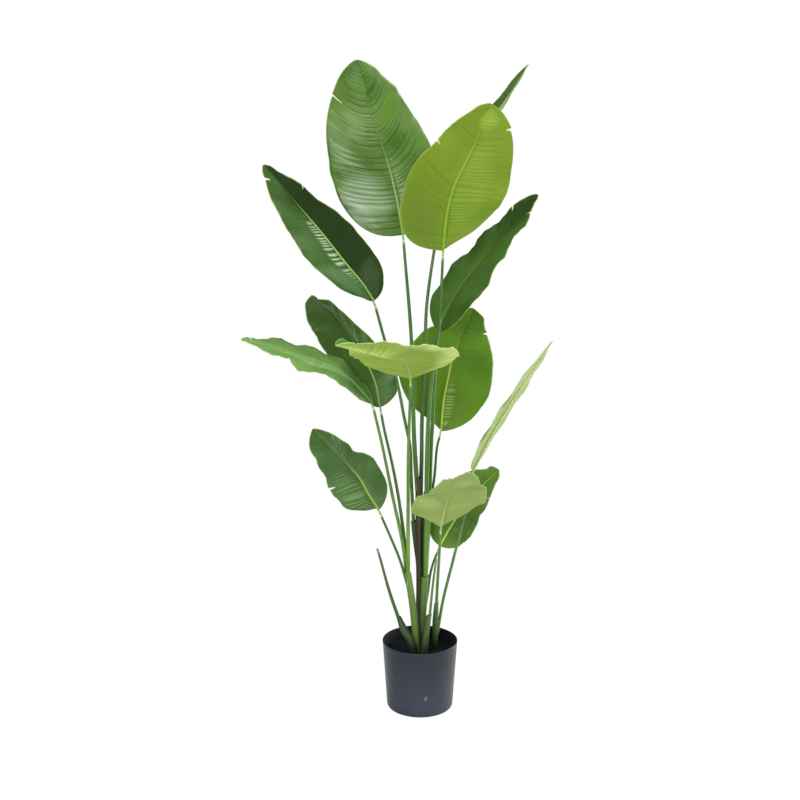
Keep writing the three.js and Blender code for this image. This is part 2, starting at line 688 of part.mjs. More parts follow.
// The pot: a tapered shell with a rounded foot and a plain, slightly rounded rim
function potGeometry() {
  const foot = [0, 30, 60, 90].map(radians).map((turn) => [
    POT_BASE_RADIUS - POT_FOOT_ROUND * (1 - Math.sin(turn)),
    POT_FOOT_ROUND * (1 - Math.cos(turn)),
  ]);
  const shoulder = POT_HEIGHT - POT_RIM_ROUND;
  return toGeometry(revolve([
    [0, 0],
    ...foot,
    [potRadius(shoulder), shoulder],
    [POT_RIM_RADIUS - POT_RIM_ROUND, POT_HEIGHT],
    [POT_RIM_RADIUS - POT_WALL, POT_HEIGHT],
    [potRadius(POT_FLOOR) - POT_WALL, POT_FLOOR],
    [0, POT_FLOOR],
  ]));
}

// The filling: it fits the pot, rises slightly to its middle and has a hole for each planted piece
function fillingGeometry() {
  const edge = (z) => potRadius(z) - POT_WALL - FIT_GAP;
  const low = POT_FLOOR + FIT_GAP;
  const high = FILL_TOP - FILL_MOUND;
  let body = revolve([
    [0, low],
    [edge(low) - FILL_EDGE_CHAMFER, low],
    [edge(low + FILL_EDGE_CHAMFER), low + FILL_EDGE_CHAMFER],
    [edge(high), high],
    [edge(high) * FILL_SLOPE_SHARE, FILL_TOP - FILL_SLOPE_DROP],
    [0, FILL_TOP],
  ]);
  for (const sheath of Object.values(SHEATHS)) {
    if (sheath.planted) body = body.subtract(sheathBody(sheath, FIT_GAP));
  }
  for (const stem of Object.values(STEMS)) {
    if (stem.planted) body = body.subtract(toSolid(stemGeometry(stem, FIT_GAP)));
  }
  return toGeometry(body);
}

const plant = new THREE.Group();

function addPiece(name, geometry, material) {
  const mesh = new THREE.Mesh(geometry, material);
  mesh.name = name;
  plant.add(mesh);
}

addPiece("pot", potGeometry(), FINISHES.pot);
addPiece("filling", fillingGeometry(), FINISHES.filling);
for (const [name, sheath] of Object.entries(SHEATHS)) {
  addPiece(name, sheathGeometry(sheath), FINISHES[sheath.finish]);
}
for (const [name, stem] of Object.entries(STEMS)) {
  addPiece(name, stemGeometry(stem), FINISHES.stem);
}
for (const [name, leaf] of Object.entries(LEAVES)) {
  addPiece(name, leafGeometry(name), leaf.underToFront ? FINISHES.under : FINISHES.upper);
}

export default plant;
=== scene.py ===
"""Potted bird of paradise for Blender 4.5: fine blades, stalks, sheaths, soil and pot.

The CAD frame gives every node's place. Lengths are millimetres, as in the CAD, and become metres
when a mesh is made. The plant's front faces -Y.
"""

import logging
from collections.abc import Mapping, Sequence
from dataclasses import dataclass, field
from enum import Enum
from typing import Callable, TypeVar

import bpy
import numpy as np
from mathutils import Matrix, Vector


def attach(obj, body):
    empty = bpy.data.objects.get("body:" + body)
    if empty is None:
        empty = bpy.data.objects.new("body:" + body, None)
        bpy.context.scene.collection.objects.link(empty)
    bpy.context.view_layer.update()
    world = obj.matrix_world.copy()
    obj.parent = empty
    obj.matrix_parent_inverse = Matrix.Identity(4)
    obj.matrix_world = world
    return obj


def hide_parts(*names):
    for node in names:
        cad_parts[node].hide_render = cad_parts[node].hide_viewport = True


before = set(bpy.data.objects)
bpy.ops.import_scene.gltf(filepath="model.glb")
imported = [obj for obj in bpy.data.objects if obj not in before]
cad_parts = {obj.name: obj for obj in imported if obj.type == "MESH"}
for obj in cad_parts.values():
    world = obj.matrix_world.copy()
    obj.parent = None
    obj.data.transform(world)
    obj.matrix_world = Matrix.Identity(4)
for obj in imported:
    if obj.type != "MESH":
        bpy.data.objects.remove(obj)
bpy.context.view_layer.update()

Point = tuple[float, float, float]
Pair = tuple[float, float]
Array = np.ndarray
Colour = tuple[float, float, float, float]
Value = TypeVar("Value")

METRES = 0.001
ROOT = "root"
# Fits that the part's solids have: a gap between touching pieces, and a blade's plug
FIT_GAP = 0.3
PLUG_LENGTH = 17.0
PLUG_INTO_BLADE = 0.07
PLANTED_Z = 95.0
SOIL_Z = 138.0
WHITE = (1.0, 1.0, 1.0, 1.0)


class Slot(Enum):
    """Material slots."""

    POT = "pot"
    FILLING = "filling"
    TRUNK = "trunk"
    SHEATH = "sheath"
    STEM = "stem"
    LEAF = "leaf"


class Half(Enum):
    """Halves of a blade, seen on its upper face with the tip up."""

    LEFT = -1
    RIGHT = 1

    def pick(self, pair: tuple[Value, Value]) -> Value:
        """Return this half's value of a pair, which has the left half's first."""
        return pair[0] if self is Half.LEFT else pair[1]


def srgb(code: str) -> Colour:
    """Turn a screen colour into scene-linear light.

    Args:
        code: Six hexadecimal digits, red first.

    Returns:
        Linear red, green and blue, and an alpha of 1.
    """
    shares = [int(code[i:i + 2], 16) / 255 for i in (0, 2, 4)]
    red, green, blue = [
        share / 12.92 if share <= 0.04045 else ((share + 0.055) / 1.055) ** 2.4
        for share in shares
    ]
    return red, green, blue, 1.0


def unit(rows: Array) -> Array:
    """Scale each row of vectors to length 1."""
    return rows / np.maximum(np.linalg.norm(rows, axis=-1, keepdims=True), 1e-9)


def ease(values: Array | float, low: float, high: float) -> Array:
    """Step smoothly from 0 at `low` to 1 at `high`."""
    share = np.clip((np.asarray(values, float) - low) / (high - low), 0, 1)
    return share * share * (3 - 2 * share)


def through(three: Point, place: Array) -> Array:
    """Read the smooth course through three values, which stand at 0, a half and 1."""
    early = three[0] * (1 - place) * (1 - 2 * place) + 4 * three[1] * place * (1 - place)
    return early + three[2] * place * (2 * place - 1)


def ring_angles(sides: int) -> Array:
    """List the angles of a ring's spots."""
    return np.arange(sides) * 2 * np.pi / sides


class Course:
    """Smooth line through listed points, read by its length."""

    STEPS = 100
    REACH = 0.004

    def __init__(self, points: Sequence[Point]) -> None:
        """Lay the line.

        Args:
            points: The places that the line passes, first to last.
        """
        knots = np.array(points, float)
        knots = np.vstack([2 * knots[0] - knots[1], knots, 2 * knots[-1] - knots[-2]])
        runs = [self._run(*knots[i:i + 4]) for i in range(len(knots) - 3)]
        self.spots = np.vstack([*runs, knots[-2:-1]])
        steps = np.linalg.norm(np.diff(self.spots, axis=0), axis=1)
        self.miles = np.concatenate([[0.0], np.cumsum(steps)])
        self.length = float(self.miles[-1])

    def _run(self, before: Array, start: Array, end: Array, after: Array) -> Array:
        """Fill the line between two points.

        Args:
            before: The point before the run.
            start: The run's first point.
            end: The run's last point.
            after: The point after the run.

        Returns:
            Places along the run, without its last point.
        """
        gap0, gap1, gap2 = [
            np.sqrt(np.linalg.norm(b - a))
            for a, b in ((before, start), (start, end), (end, after))
        ]
        pull0 = (start - before) / gap0 - (end - before) / (gap0 + gap1) + (end - start) / gap1
        pull1 = (end - start) / gap1 - (after - start) / (gap1 + gap2) + (after - end) / gap2
        share = (np.arange(self.STEPS) / self.STEPS)[:, None]
        square, cube = share ** 2, share ** 3
        return (
            (2 * cube - 3 * square + 1) * start
            + (cube - 2 * square + share) * pull0 * gap1
            + (3 * square - 2 * cube) * end
            + (cube - square) * pull1 * gap1
        )

    def at(self, place: Array | float) -> Array:
        """Read the point at each share of the line's length."""
        mile = np.clip(place, 0, 1) * self.length
        return np.stack([np.interp(mile, self.miles, self.spots[:, k]) for k in range(3)], -1)

    def heading(self, place: Array | float) -> Array:
        """Read the line's direction at each share of its length."""
        centre = np.clip(place, self.REACH, 1 - self.REACH)
        return unit(self.at(centre + self.REACH) - self.at(centre - self.REACH))


def operator(name: str, swap: bool = False) -> Callable[["Wire", "Wire | float"], "Wire"]:
    """Make the method that stands for one of Python's operators.

    Args:
        name: The Math node's operation.
        swap: Whether the wire is the second value.

    Returns:
        The method.
    """
    def method(wire: "Wire", other: "Wire | float") -> "Wire":
        """Work out the two values' result."""
        return wire.graph.math(name, *((other, wire) if swap else (wire, other)))
    return method


@dataclass(frozen=True)
class Wire:
    """One output socket of a node tree, which takes part in Python expressions."""

    graph: "Graph"
    socket: bpy.types.NodeSocket | None

    __add__ = __radd__ = operator("ADD")
    __sub__ = operator("SUBTRACT")
    __rsub__ = operator("SUBTRACT", swap=True)
    __mul__ = __rmul__ = operator("MULTIPLY")
    __truediv__ = operator("DIVIDE")

    def __abs__(self) -> "Wire":
        """Return this value without its sign."""
        return self.graph.math("ABSOLUTE", self)

    def step(self, low: float, high: float) -> "Wire":
        """Step smoothly from 0 at `low` to 1 at `high`."""
        sockets = {0: self, 1: low, 2: high, 3: 0.0, 4: 1.0}
        return self.graph.node("ShaderNodeMapRange", {"interpolation_type": "SMOOTHSTEP"}, sockets)

    def out(self, name: str | int) -> "Wire":
        """Return another output of the same node."""
        return Wire(self.graph, self.socket.node.outputs[name])


class Graph:
    """Node tree in the making, for a material or a Geometry Nodes modifier."""

    def __init__(self, tree: bpy.types.NodeTree) -> None:
        """Start on a tree.

        Args:
            tree: The tree that gets the nodes.
        """
        self.tree = tree

    def node(
        self,
        kind: str,
        settings: Mapping[str, object] | None = None,
        sockets: Mapping[str | int, object] | None = None,
        out: str | int | None = 0,
    ) -> Wire:
        """Add a node.

        Args:
            kind: Blender's name for the node's type.
            settings: The node's own settings, set before its sockets.
            sockets: Values or wires for its inputs, by name or number.
            out: The output to go on with, or None for a node without one.

        Returns:
            The chosen output.
        """
        made = self.tree.nodes.new(kind)
        for name, value in (settings or {}).items():
            setattr(made, name, value)
        for name, value in (sockets or {}).items():
            if isinstance(value, Wire):
                self.tree.links.new(value.socket, made.inputs[name])
            else:
                made.inputs[name].default_value = value
        return Wire(self, None if out is None else made.outputs[out])

    def math(self, operation: str, *values: Wire | float) -> Wire:
        """Add a Math node for one, two or three values."""
        return self.node("ShaderNodeMath", {"operation": operation}, dict(enumerate(values)))

    def split(self, vector: Wire) -> Wire:
        """Take a vector apart into the outputs X, Y and Z."""
        return self.node("ShaderNodeSeparateXYZ", {}, {0: vector})

    def whiten(self, kind: str, strength: Wire | float) -> Wire:
        """Add a white shader that gives light."""
        return self.node(kind, {}, {"Color": WHITE, "Strength": strength})


class Paint(Graph):
    """Procedural material in the making."""

    def __init__(self, name: str) -> None:
        """Start an empty material.

        Args:
            name: The material's name.
        """
        self.material = bpy.data.materials.new(name)
        self.material.use_nodes = True
        self.material.node_tree.nodes.clear()
        super().__init__(self.material.node_tree)

    def blend(self, share: Wire | float, first: Wire | str, second: Wire | str) -> Wire:
        """Mix two colours, with the first where the share is 0.

        Args:
            share: How much of the second colour shows, from 0 to 1.
            first: A colour, or a screen colour's six digits.
            second: The other colour.

        Returns:
            The mixed colour.
        """
        pair = [srgb(part) if isinstance(part, str) else part for part in (first, second)]
        settings = {"data_type": "RGBA", "clamp_factor": True}
        return self.node("ShaderNodeMix", settings, {0: share, 6: pair[0], 7: pair[1]}, 2)

    def shade(self, colour: Wire, factor: Wire | float) -> Wire:
        """Make a colour lighter or darker by a factor."""
        sockets = {0: colour, "Scale": factor}
        return self.node("ShaderNodeVectorMath", {"operation": "SCALE"}, sockets)

    def place(self, shift: Point = (0.0, 0.0, 0.0), stretch: Point = (1.0, 1.0, 1.0)) -> Wire:
        """Read the piece's own coordinates, moved by a shift after a stretch."""
        own = self.node("ShaderNodeTexCoord", out="Object")
        return self.node(
            "ShaderNodeMapping", {}, {"Vector": own, "Location": shift, "Scale": stretch}
        )

    def noise(
        self, shift: Point, scale: float, detail: float, rough: float = 0.5,
        stretch: Point = (1.0, 1.0, 1.0),
    ) -> Wire:
        """Add soft random variation.

        Args:
            shift: Offset, so that pieces differ.
            scale: Spots in each metre.
            detail: Finer layers on top.
            rough: Strength of the finer layers.
            stretch: More spots on each axis.

        Returns:
            Values round a half.
        """
        where = self.place(shift, stretch)
        sockets = {"Vector": where, "Scale": scale, "Detail": detail, "Roughness": rough}
        return self.node("ShaderNodeTexNoise", {}, sockets)

    def zigzag(self, value: Wire) -> Wire:
        """Fold a value to and fro between 0, at whole numbers, and a half."""
        return self.math("PINGPONG", value, 0.5)

    def read(self, name: str, out: str = "Fac") -> Wire:
        """Read a number, or a Vector, that the mesh carries."""
        return self.node("ShaderNodeAttribute", {"attribute_name": name}, out=out)

    def surface(
        self, colour: Wire, roughness: Wire | float, height: Wire, depth: float,
        specular: float = 0.5,
    ) -> bpy.types.Material:
        """Finish the material.

        Args:
            colour: Base colour.
            roughness: Gloss, from 0 for a mirror to 1 for chalk.
            height: Fine relief, from 0 to 1.
            depth: What a relief of 1 stands up, in metres.
            specular: Strength of the reflections, the same all over.

        Returns:
            The material.
        """
        sockets = {
            "Base Color": colour, "Roughness": roughness, "Specular IOR Level": specular,
        }
        relief = {"Strength": 1.0, "Distance": depth, "Height": height}
        sockets["Normal"] = self.node("ShaderNodeBump", {}, relief)
        shader = self.node("ShaderNodeBsdfPrincipled", {}, sockets)
        self.node("ShaderNodeOutputMaterial", {}, {"Surface": shader}, None)
        return self.material


@dataclass(frozen=True)
class FaceLook:
    """What all blades' upper faces, or all their lower faces, have in common.

    Clouds are broad changes of tone and specks small ones. The grooves' colour is painted shade in
    the pleats' grooves, and fades out between the two shares of `groove_fade`. The rib's colour
    loses `rib_taper` of its width to the tip.
    """

    cloud_at: Pair
    cloud_scale: float
    clouds: float
    speck_at: Pair
    speck_scale: float
    specks: float
    lines: float
    groove_fade: Pair
    groove_shade: float
    rib_wide: float
    rib_taper: float
    rib_edge: Pair
    margin_wide: float
    margin: float


class Face(Enum):
    """Faces of a blade, with their looks. Widths are millimetres."""

    UPPER = FaceLook(
        cloud_at=(3, 7), cloud_scale=11, clouds=2.2, speck_at=(5, 2), speck_scale=160, specks=0.25,
        lines=0.16, groove_fade=(0.55, 0.95), groove_shade=0.5, rib_wide=2.6, rib_taper=1.6,
        rib_edge=(0.6, 1.3), margin_wide=1.8, margin=0.75,
    )
    LOWER = FaceLook(
        cloud_at=(1, 4), cloud_scale=9, clouds=2.0, speck_at=(6, 1), speck_scale=200, specks=0.2,
        lines=0.3, groove_fade=(0.6, 1.0), groove_shade=0.6, rib_wide=3.4, rib_taper=2.4,
        rib_edge=(0.7, 1.2), margin_wide=2.0, margin=0.6,
    )


@dataclass(frozen=True)
class PaintedLightAndTint:
    """Soft patch of another colour on a blade's face, combed along the pleats: painted sheen,
    painted highlights and painted shade, with some plain tints.

    `share` is how far out its middle is, negative on the left half, and `place` is where along
    the rib. `wide` and `long` are how far it reaches from there.
    """

    share: float
    place: float
    wide: float
    long: float
    colour: str
    amount: float = 0.5
    combed: float = 0.0
    face: Face = Face.UPPER


class BladePaint(Paint):
    """Material of a blade, which knows where each spot lies among the veins."""

    def __init__(self, name: str, seed: float) -> None:
        """Read the spots' places.

        Args:
            name: The material's name.
            seed: Offset, so that blades differ.
        """
        super().__init__(name)
        lie = self.split(self.read("lie", "Vector"))
        span = self.split(self.read("span", "Vector"))
        self.out, self.start, self.phase = lie.out("X"), lie.out("Y"), lie.out("Z")
        self.from_rib, self.from_margin = span.out("X"), span.out("Y")
        self.groove = 1 - self.zigzag(self.phase).step(0.02, 0.2)
        self.fine = self.zigzag(self.phase * 3.0 + self.noise((seed, 0, 0), 40, 2) * 0.5) * 2.0
        self.right = self.out.step(-0.004, 0.004)

    def by_half(self, pair: Pair) -> Wire:
        """Give each half of the blade its value."""
        return self.right * (pair[1] - pair[0]) + pair[0]


@dataclass(frozen=True)
class LeafFinish:
    """Colours and gloss of one blade.

    `halves` makes each half lighter or darker, as painted light and painted shade, and `dull` makes
    it rougher. `lines` is the strength of the grooves' painted shade, `fine` that of the fine
    lines.
    `rib_fade` is where along the rib its pale colour fades.
    """

    light: str = "5b8c38"
    dark: str = "35651f"
    under: str = "8aa844"
    under_dark: str = "6f9035"
    rib: str = "9dbb55"
    rib_under: str = "8fb040"
    margin: str = "9db86a"
    dry: str = "6b5a2c"
    joint: str = "cfd6b4"
    gloss: float = 0.4
    seed: float = 0.0
    # Painted light and painted shade: a factor that makes each half lighter or darker
    halves: Pair = (1.0, 1.0)
    dull: Pair = (0.0, 0.0)
    lines: float = 0.25
    fine: float = 1.0
    shine: float = 0.3
    shine_under: float = 0.25
    rib_fade: Pair = (0.6, 1.0)
    # Painted sheen, painted highlights and painted shade, with some plain tints
    painted_light_and_tints: tuple[PaintedLightAndTint, ...] = ()

    def _paint_light_and_tints(self, paint: BladePaint, colour: Wire, face: Face) -> Wire:
        """Lay the painted sheen, highlights and shade, and the tints, of one face.

        Args:
            paint: The material in the making.
            colour: The face's colour so far.
            face: Which face.

        Returns:
            The colour with its painted light, painted shade and tints.
        """
        sway = paint.noise((self.seed, 8, 8), 14, 2) - 0.5
        comb = paint.zigzag(paint.phase + sway * 0.4) * 2.0
        # Painted light: sheen and highlights combed along the pleats, and painted shade, with some
        # tints
        for patch in self.painted_light_and_tints:
            if patch.face is face:
                out = (paint.out - patch.share) / patch.wide + sway * 0.6
                on = (paint.start - patch.place) / patch.long + sway * 0.6
                mask = (1 - (out * out + on * on).step(0.0, 1.0)) * patch.amount
                mask = mask * (1 - patch.combed + comb * comb * (2.2 * patch.combed))
                colour = paint.blend(mask, colour, patch.colour)
        return colour

    def material(self, name: str, face: Face) -> bpy.types.Material:
        """Make one face of the blade: waxy above, paler and duller below.

        Args:
            name: The material's name.
            face: Which face.

        Returns:
            The material.
        """
        look, upper = face.value, face is Face.UPPER
        dark, light, rib_colour = (
            (self.dark, self.light, self.rib) if upper
            else (self.under_dark, self.under, self.rib_under)
        )
        paint = BladePaint(name, self.seed)
        broad = paint.noise((self.seed, *look.cloud_at), look.cloud_scale, 3)
        speck = paint.noise((self.seed, *look.speck_at), look.speck_scale, 3)
        lines = (paint.fine - 0.5) * (look.lines * self.fine)
        specks = (speck - 0.5) * (look.specks * (1 if upper else self.fine))
        tone = (broad - 0.5) * look.clouds + 0.5 + lines + specks
        colour = paint.blend(tone, dark, light)
        # Painted shade: the pleats' grooves are darkened, fading out towards the margin
        inside = 1 - abs(paint.out).step(*look.groove_fade)
        deep = tuple(look.groove_shade * part for part in srgb(dark)[:3]) + (1.0,)
        colour = paint.blend(paint.groove * inside * self.lines, colour, deep)
        # Painted light and painted shade: the patches, then a factor on each half's colour
        colour = paint.shade(self._paint_light_and_tints(paint, colour, face), paint.by_half(self.halves))
        from_rib = paint.from_rib / (look.rib_wide - paint.start * look.rib_taper)
        rib = (1 - from_rib.step(*look.rib_edge)) * (1 - paint.start.step(*self.rib_fade) * 0.9)
        colour = paint.blend(rib, colour, rib_colour)
        edge = 1 - paint.from_margin.step(0.3, look.margin_wide)
        colour = paint.blend(edge * look.margin, colour, self.margin)
        if not upper:
            rough = self.gloss + 0.12 + (broad - 0.5) * 0.1
            height = (paint.fine * 0.5 + speck * 0.3) * self.fine
            return paint.surface(colour, rough, height, 0.0003, self.shine_under)
        dry = paint.start.step(0.955, 1.0) * (1 - paint.from_margin.step(1.0, 9.0))
        colour = paint.blend(dry * speck.step(0.35, 0.6) * 0.8, colour, self.dry)
        rough = self.gloss - 0.06 + (broad - 0.5) * 0.14 + (speck - 0.5) * 0.1
        rough = rough + paint.groove * 0.06 + paint.by_half(self.dull)
        height = paint.fine * (0.35 * self.fine) + speck * 0.25
        return paint.surface(colour, rough, height, 0.00022, self.shine)

    def plug(self, name: str) -> bpy.types.Material:
        """Make the pale joint between the stalk and the rib.

        Args:
            name: The material's name.

        Returns:
            The material.
        """
        paint = Paint(name)
        along = paint.split(paint.read("lie", "Vector")).out("Y")
        speck = paint.noise((self.seed, 2, 2), 260, 3, stretch=(1, 1, 0.3))
        colour = paint.blend(along.step(0.03, 0.22), self.joint, self.rib)
        colour = paint.blend((speck - 0.45) * 0.8, colour, self.light)
        return paint.surface(colour, 0.5 + speck * 0.1, speck, 0.0002)


@dataclass(frozen=True)
class StalkFinish:
    """Colours of a leaf stalk, from its foot to its top."""

    foot: str = "4f8033"
    top: str = "3d6e33"
    streak: str = "2b4d1c"
    tip: str = "8b9a6b"
    tip_share: float = 0.012
    seed: float = 0.0

    def material(self, name: str) -> bpy.types.Material:
        """Make the satin skin with its lengthwise streaks.

        Args:
            name: The material's name.

        Returns:
            The material.
        """
        paint = Paint(name)
        along = paint.read("along")
        streaks = paint.noise((self.seed, 0, 0), 1, 3, stretch=(260, 260, 9))
        broad = paint.noise((self.seed, 4, 0), 14, 2)
        colour = paint.blend(along + (broad - 0.5) * 0.9, self.foot, self.top)
        colour = paint.blend(streaks.step(0.42, 0.72) * 0.55, colour, self.streak)
        end = along.step(1 - self.tip_share, 1 - self.tip_share * 0.3)
        colour = paint.blend(end, colour, self.tip)
        return paint.surface(colour, 0.42 + (streaks - 0.5) * 0.2, streaks, 0.0004)


@dataclass(frozen=True)
class SheathFinish:
    """Colours of a clasping sheath or of the trunk.

    The foot's colour is painted shade near the soil, and fades over `foot_shade_rise` millimetres
    above it. The left flank's colour is painted shade too, and fades between the two distances from
    the pot's middle. The margin is papery for `margin_share` of the way round on each side.
    """

    # Painted shade: the dark colour near the soil
    foot: str = "4c6b2e"
    middle: str = "6b9440"
    top: str = "5b8c3a"
    margin: str = "7d6144"
    fibre: str = "39562a"
    margin_share: float = 0.05
    rough: float = 0.5
    fibre_depth: float = 0.0005
    fibre_mix: float = 0.5
    papery: float = 0.5
    # Painted shade: the dark colour of the left flank
    flank: str = "2c4a1c"
    flank_shade_fade: Pair | None = None
    foot_shade_rise: float = 70.0
    seed: float = 0.0

    def material(self, name: str) -> bpy.types.Material:
        """Make the fibrous skin with its papery margin, and painted shade on its foot and left
        flank.

        Args:
            name: The material's name.

        Returns:
            The material.
        """
        paint = Paint(name)
        along = paint.read("along")
        fibres = paint.noise((self.seed, 0, 0), 1, 4, 0.6, (420, 420, 7))
        broad = paint.noise((self.seed, 1, 0), 30, 3, stretch=(1, 1, 0.5))
        spot = paint.split(paint.place(stretch=(1000, 1000, 1000)))
        # Painted shade: darker near the soil, fading out higher up
        above = (spot.out("Z") + (broad - 0.5) * 40).step(SOIL_Z, SOIL_Z + self.foot_shade_rise)
        colour = paint.blend(above, self.foot, self.middle)
        high = (along + (broad - 0.5) * 0.35).step(0.6, 1.0)
        colour = paint.blend(high, colour, self.top)
        # Painted shade on the left flank
        if self.flank_shade_fade:
            across = spot.out("X") + (fibres - 0.5) * 3
            colour = paint.blend(1 - across.step(*self.flank_shade_fade), colour, self.flank)
        colour = paint.blend(fibres.step(0.45, 0.75) * self.fibre_mix, colour, self.fibre)
        side = 1 - paint.zigzag(paint.read("around")).step(0.0, self.margin_share)
        rim = along.step(0.98, 1.0) * 0.8
        papery = paint.math("MAXIMUM", rim, side * along.step(0.15, 0.6))
        colour = paint.blend(papery * (fibres + 0.5) * self.papery, colour, self.margin)
        return paint.surface(colour, self.rough + (fibres - 0.5) * 0.25, fibres, self.fibre_depth)


@dataclass(frozen=True)
class PotFinish:
    """Satin charcoal of the pot, with painted shade on its inner wall and towards its top."""

    body: str = "1c222d"
    # Painted light: the lighter colour towards the foot, against the darker top
    painted_foot_light: str = "353c4a"
    # Painted shade: the near-black colour of the inner wall
    inside: str = "070914"
    scuff: str = "8d949c"
    pale_spot_place: Pair = (0.0125, 0.05)
    pale_spot_in_metre: Pair = (260, 140)
    rough: float = 0.3

    def material(self, name: str) -> bpy.types.Material:
        """Make the moulded wall with faint scuffs, a pale spot on its front, and painted shade on
        the inner wall and towards the top.

        Args:
            name: The material's name.

        Returns:
            The material.
        """
        paint = Paint(name)
        still = (0, 0, 0)
        grain = paint.noise(still, 900, 3)
        broad = paint.noise(still, 16, 4)
        marks = paint.noise((2, 1, 0), 55, 5, 0.65, (1, 1, 3.5)).step(0.72, 0.8) * 0.3
        inner = paint.read("around")
        spot = paint.split(paint.place())
        # Painted shade: the wall is darker towards the top and lighter towards the foot
        foot_light_mask = 1 - (spot.out("Z") + (broad - 0.5) * 0.02).step(0.0, 0.17)
        colour = paint.blend(foot_light_mask, self.body, self.painted_foot_light)
        # Painted shade: the inner wall is painted near black
        colour = paint.blend(inner, colour, self.inside)
        across, high = [
            (spot.out(axis) - place) * count
            for axis, place, count in zip("XZ", self.pale_spot_place, self.pale_spot_in_metre)
        ]
        # A pale spot low on the front of the wall
        front = 1 - spot.out("Y").step(-0.06, -0.05)
        pale_spot = (1 - (across * across + high * high).step(0.0, 1.0)) * front
        marks = paint.math("MAXIMUM", marks, pale_spot * grain.step(0.3, 0.6))
        colour = paint.blend(marks * (1 - inner), colour, self.scuff)
        rough = self.rough + (broad - 0.5) * 0.16 + (grain - 0.5) * 0.08 + inner * 0.4
        return paint.surface(colour, rough, grain, 0.00008)


@dataclass(frozen=True)
class SoilFinish:
    """Dark damp potting soil."""

    dark: str = "04080b"
    light: str = "0d1519"
    seed: float = 0.0

    def material(self, name: str) -> bpy.types.Material:
        """Make the crumbly soil.

        Args:
            name: The material's name.

        Returns:
            The material.
        """
        paint = Paint(name)
        shift = (self.seed, 0, 0)
        grain = paint.noise(shift, 900, 4, 0.7)
        tone = (paint.noise(shift, 120, 4) - 0.5) * 2 + grain * 0.5 + 0.2
        colour = paint.blend(tone, self.dark, self.light)
        return paint.surface(colour, 0.9 - grain * 0.15, grain, 0.0008, 0.15)


@dataclass
class Shell:
    """Closed surfaces gathered for one mesh, in millimetres."""

    spots: list[Array] = field(default_factory=list)
    faces: list[list[int]] = field(default_factory=list)
    slots: list[int] = field(default_factory=list)
    smooth: list[bool] = field(default_factory=list)
    values: dict[str, list[Array]] = field(default_factory=dict)
    count: int = 0

    def add(self, spots: Array, faces: Array, slot: int = 0) -> None:
        """Add spots and smooth faces.

        Args:
            spots: New spots.
            faces: Corners of each face, counted from the first new spot.
            slot: The material slot.
        """
        base = self.count
        self.spots.append(np.asarray(spots, float).reshape(-1, 3))
        self.count += len(self.spots[-1])
        self.extend(faces + base, slot)

    def extend(self, faces: Array, slot: int = 0, smooth: bool = True) -> None:
        """Add faces between spots that are there already.

        Args:
            faces: Corners of each face, counted from the mesh's first spot.
            slot: The material slot.
            smooth: Whether the faces are shaded smooth.
        """
        self.faces.extend(faces.tolist())
        self.slots.extend([slot] * len(faces))
        self.smooth.extend([smooth] * len(faces))

    def lathe(self, rings: Array, poles: Array, slot: int = 0, round_foot: bool = True) -> None:
        """Add a closed skin of rings, each end drawn together at a pole.

        Args:
            rings: Spots of each ring, foot first.
            poles: The middles of the foot and of the top.
            slot: The material slot.
            round_foot: Whether the foot is shaded smooth.
        """
        rows, columns = rings.shape[:2]
        here = np.arange(columns) + self.count
        after = np.roll(here, -1)
        last, foot = (rows - 1) * columns, np.full(columns, self.count + rows * columns)
        self.add(np.vstack([rings.reshape(-1, 3), poles]), grid_faces(rows, columns), slot)
        self.extend(np.stack([foot, after, here], 1), slot, round_foot)
        self.extend(np.stack([foot + 1, last + here, last + after], 1), slot)

    def carry(self, **values: Array) -> None:
        """Give the spots added last their values.

        Args:
            values: A number or three numbers for each spot, by attribute name.
        """
        for name, given in values.items():
            self.values.setdefault(name, []).append(np.asarray(given, float))

    def build(self, name: str, materials: Sequence[bpy.types.Material]) -> bpy.types.Object:
        """Make the mesh object.

        Args:
            name: The piece's name.
            materials: Its material slots.

        Returns:
            The object, at the origin.
        """
        mesh = bpy.data.meshes.new(name)
        mesh.from_pydata((np.vstack(self.spots) * METRES).tolist(), [], self.faces)
        for material in materials:
            mesh.materials.append(material)
        mesh.polygons.foreach_set("material_index", self.slots)
        mesh.polygons.foreach_set("use_smooth", self.smooth)
        for key, parts in self.values.items():
            given = np.concatenate(parts)
            kind, put = ("FLOAT", "value") if given.ndim == 1 else ("FLOAT_VECTOR", "vector")
            mesh.attributes.new(key, kind, "POINT").data.foreach_set(put, given.ravel())
        mesh.update()
        return link(name, mesh)


def link(name: str, data: bpy.types.ID) -> bpy.types.Object:
    """Put an object into the scene.

    Args:
        name: Its name.
        data: Its mesh, light or camera.

    Returns:
        The object, at the origin.
    """
    made = bpy.data.objects.new(name, data)
    bpy.context.scene.collection.objects.link(made)
    return made


def hang(piece: bpy.types.Object, slot: Slot, *nodes: str) -> bpy.types.Object:
    """Hang a piece on the frame's root, and hide the CAD nodes that it stands for.

    Args:
        piece: The finished piece.
        slot: The material slot; not used.
        nodes: The CAD nodes that it replaces.

    Returns:
        The same piece.
    """
    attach(piece, ROOT)
    if nodes:
        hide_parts(*nodes)
    return piece


def grid_faces(rows: int, columns: int) -> Array:
    """List the faces between rings.

    Args:
        rows: Rings from foot to top.
        columns: Spots in each ring.

    Returns:
        Four corners of each face, outwards for rings that turn anticlockwise seen from the top.
    """
    low = np.arange(rows - 1)[:, None] * columns
    here = np.arange(columns)[None, :]
    after = (here + 1) % columns
    corners = [low + here, low + after, low + columns + after, low + columns + here]
    return np.stack([corner.ravel() for corner in corners], 1)


def cross_frame(headings: Array) -> tuple[Array, Array]:
    """Find the directions across a line and from its front to its back.

    Args:
        headings: Unit vectors along the line.

    Returns:
        The directions across and deep, square to the line.
    """
    back = np.array([0.0, 1.0, 0.0])
    deep = unit(back - headings * (headings @ back)[:, None])
    return np.cross(deep, headings), deep


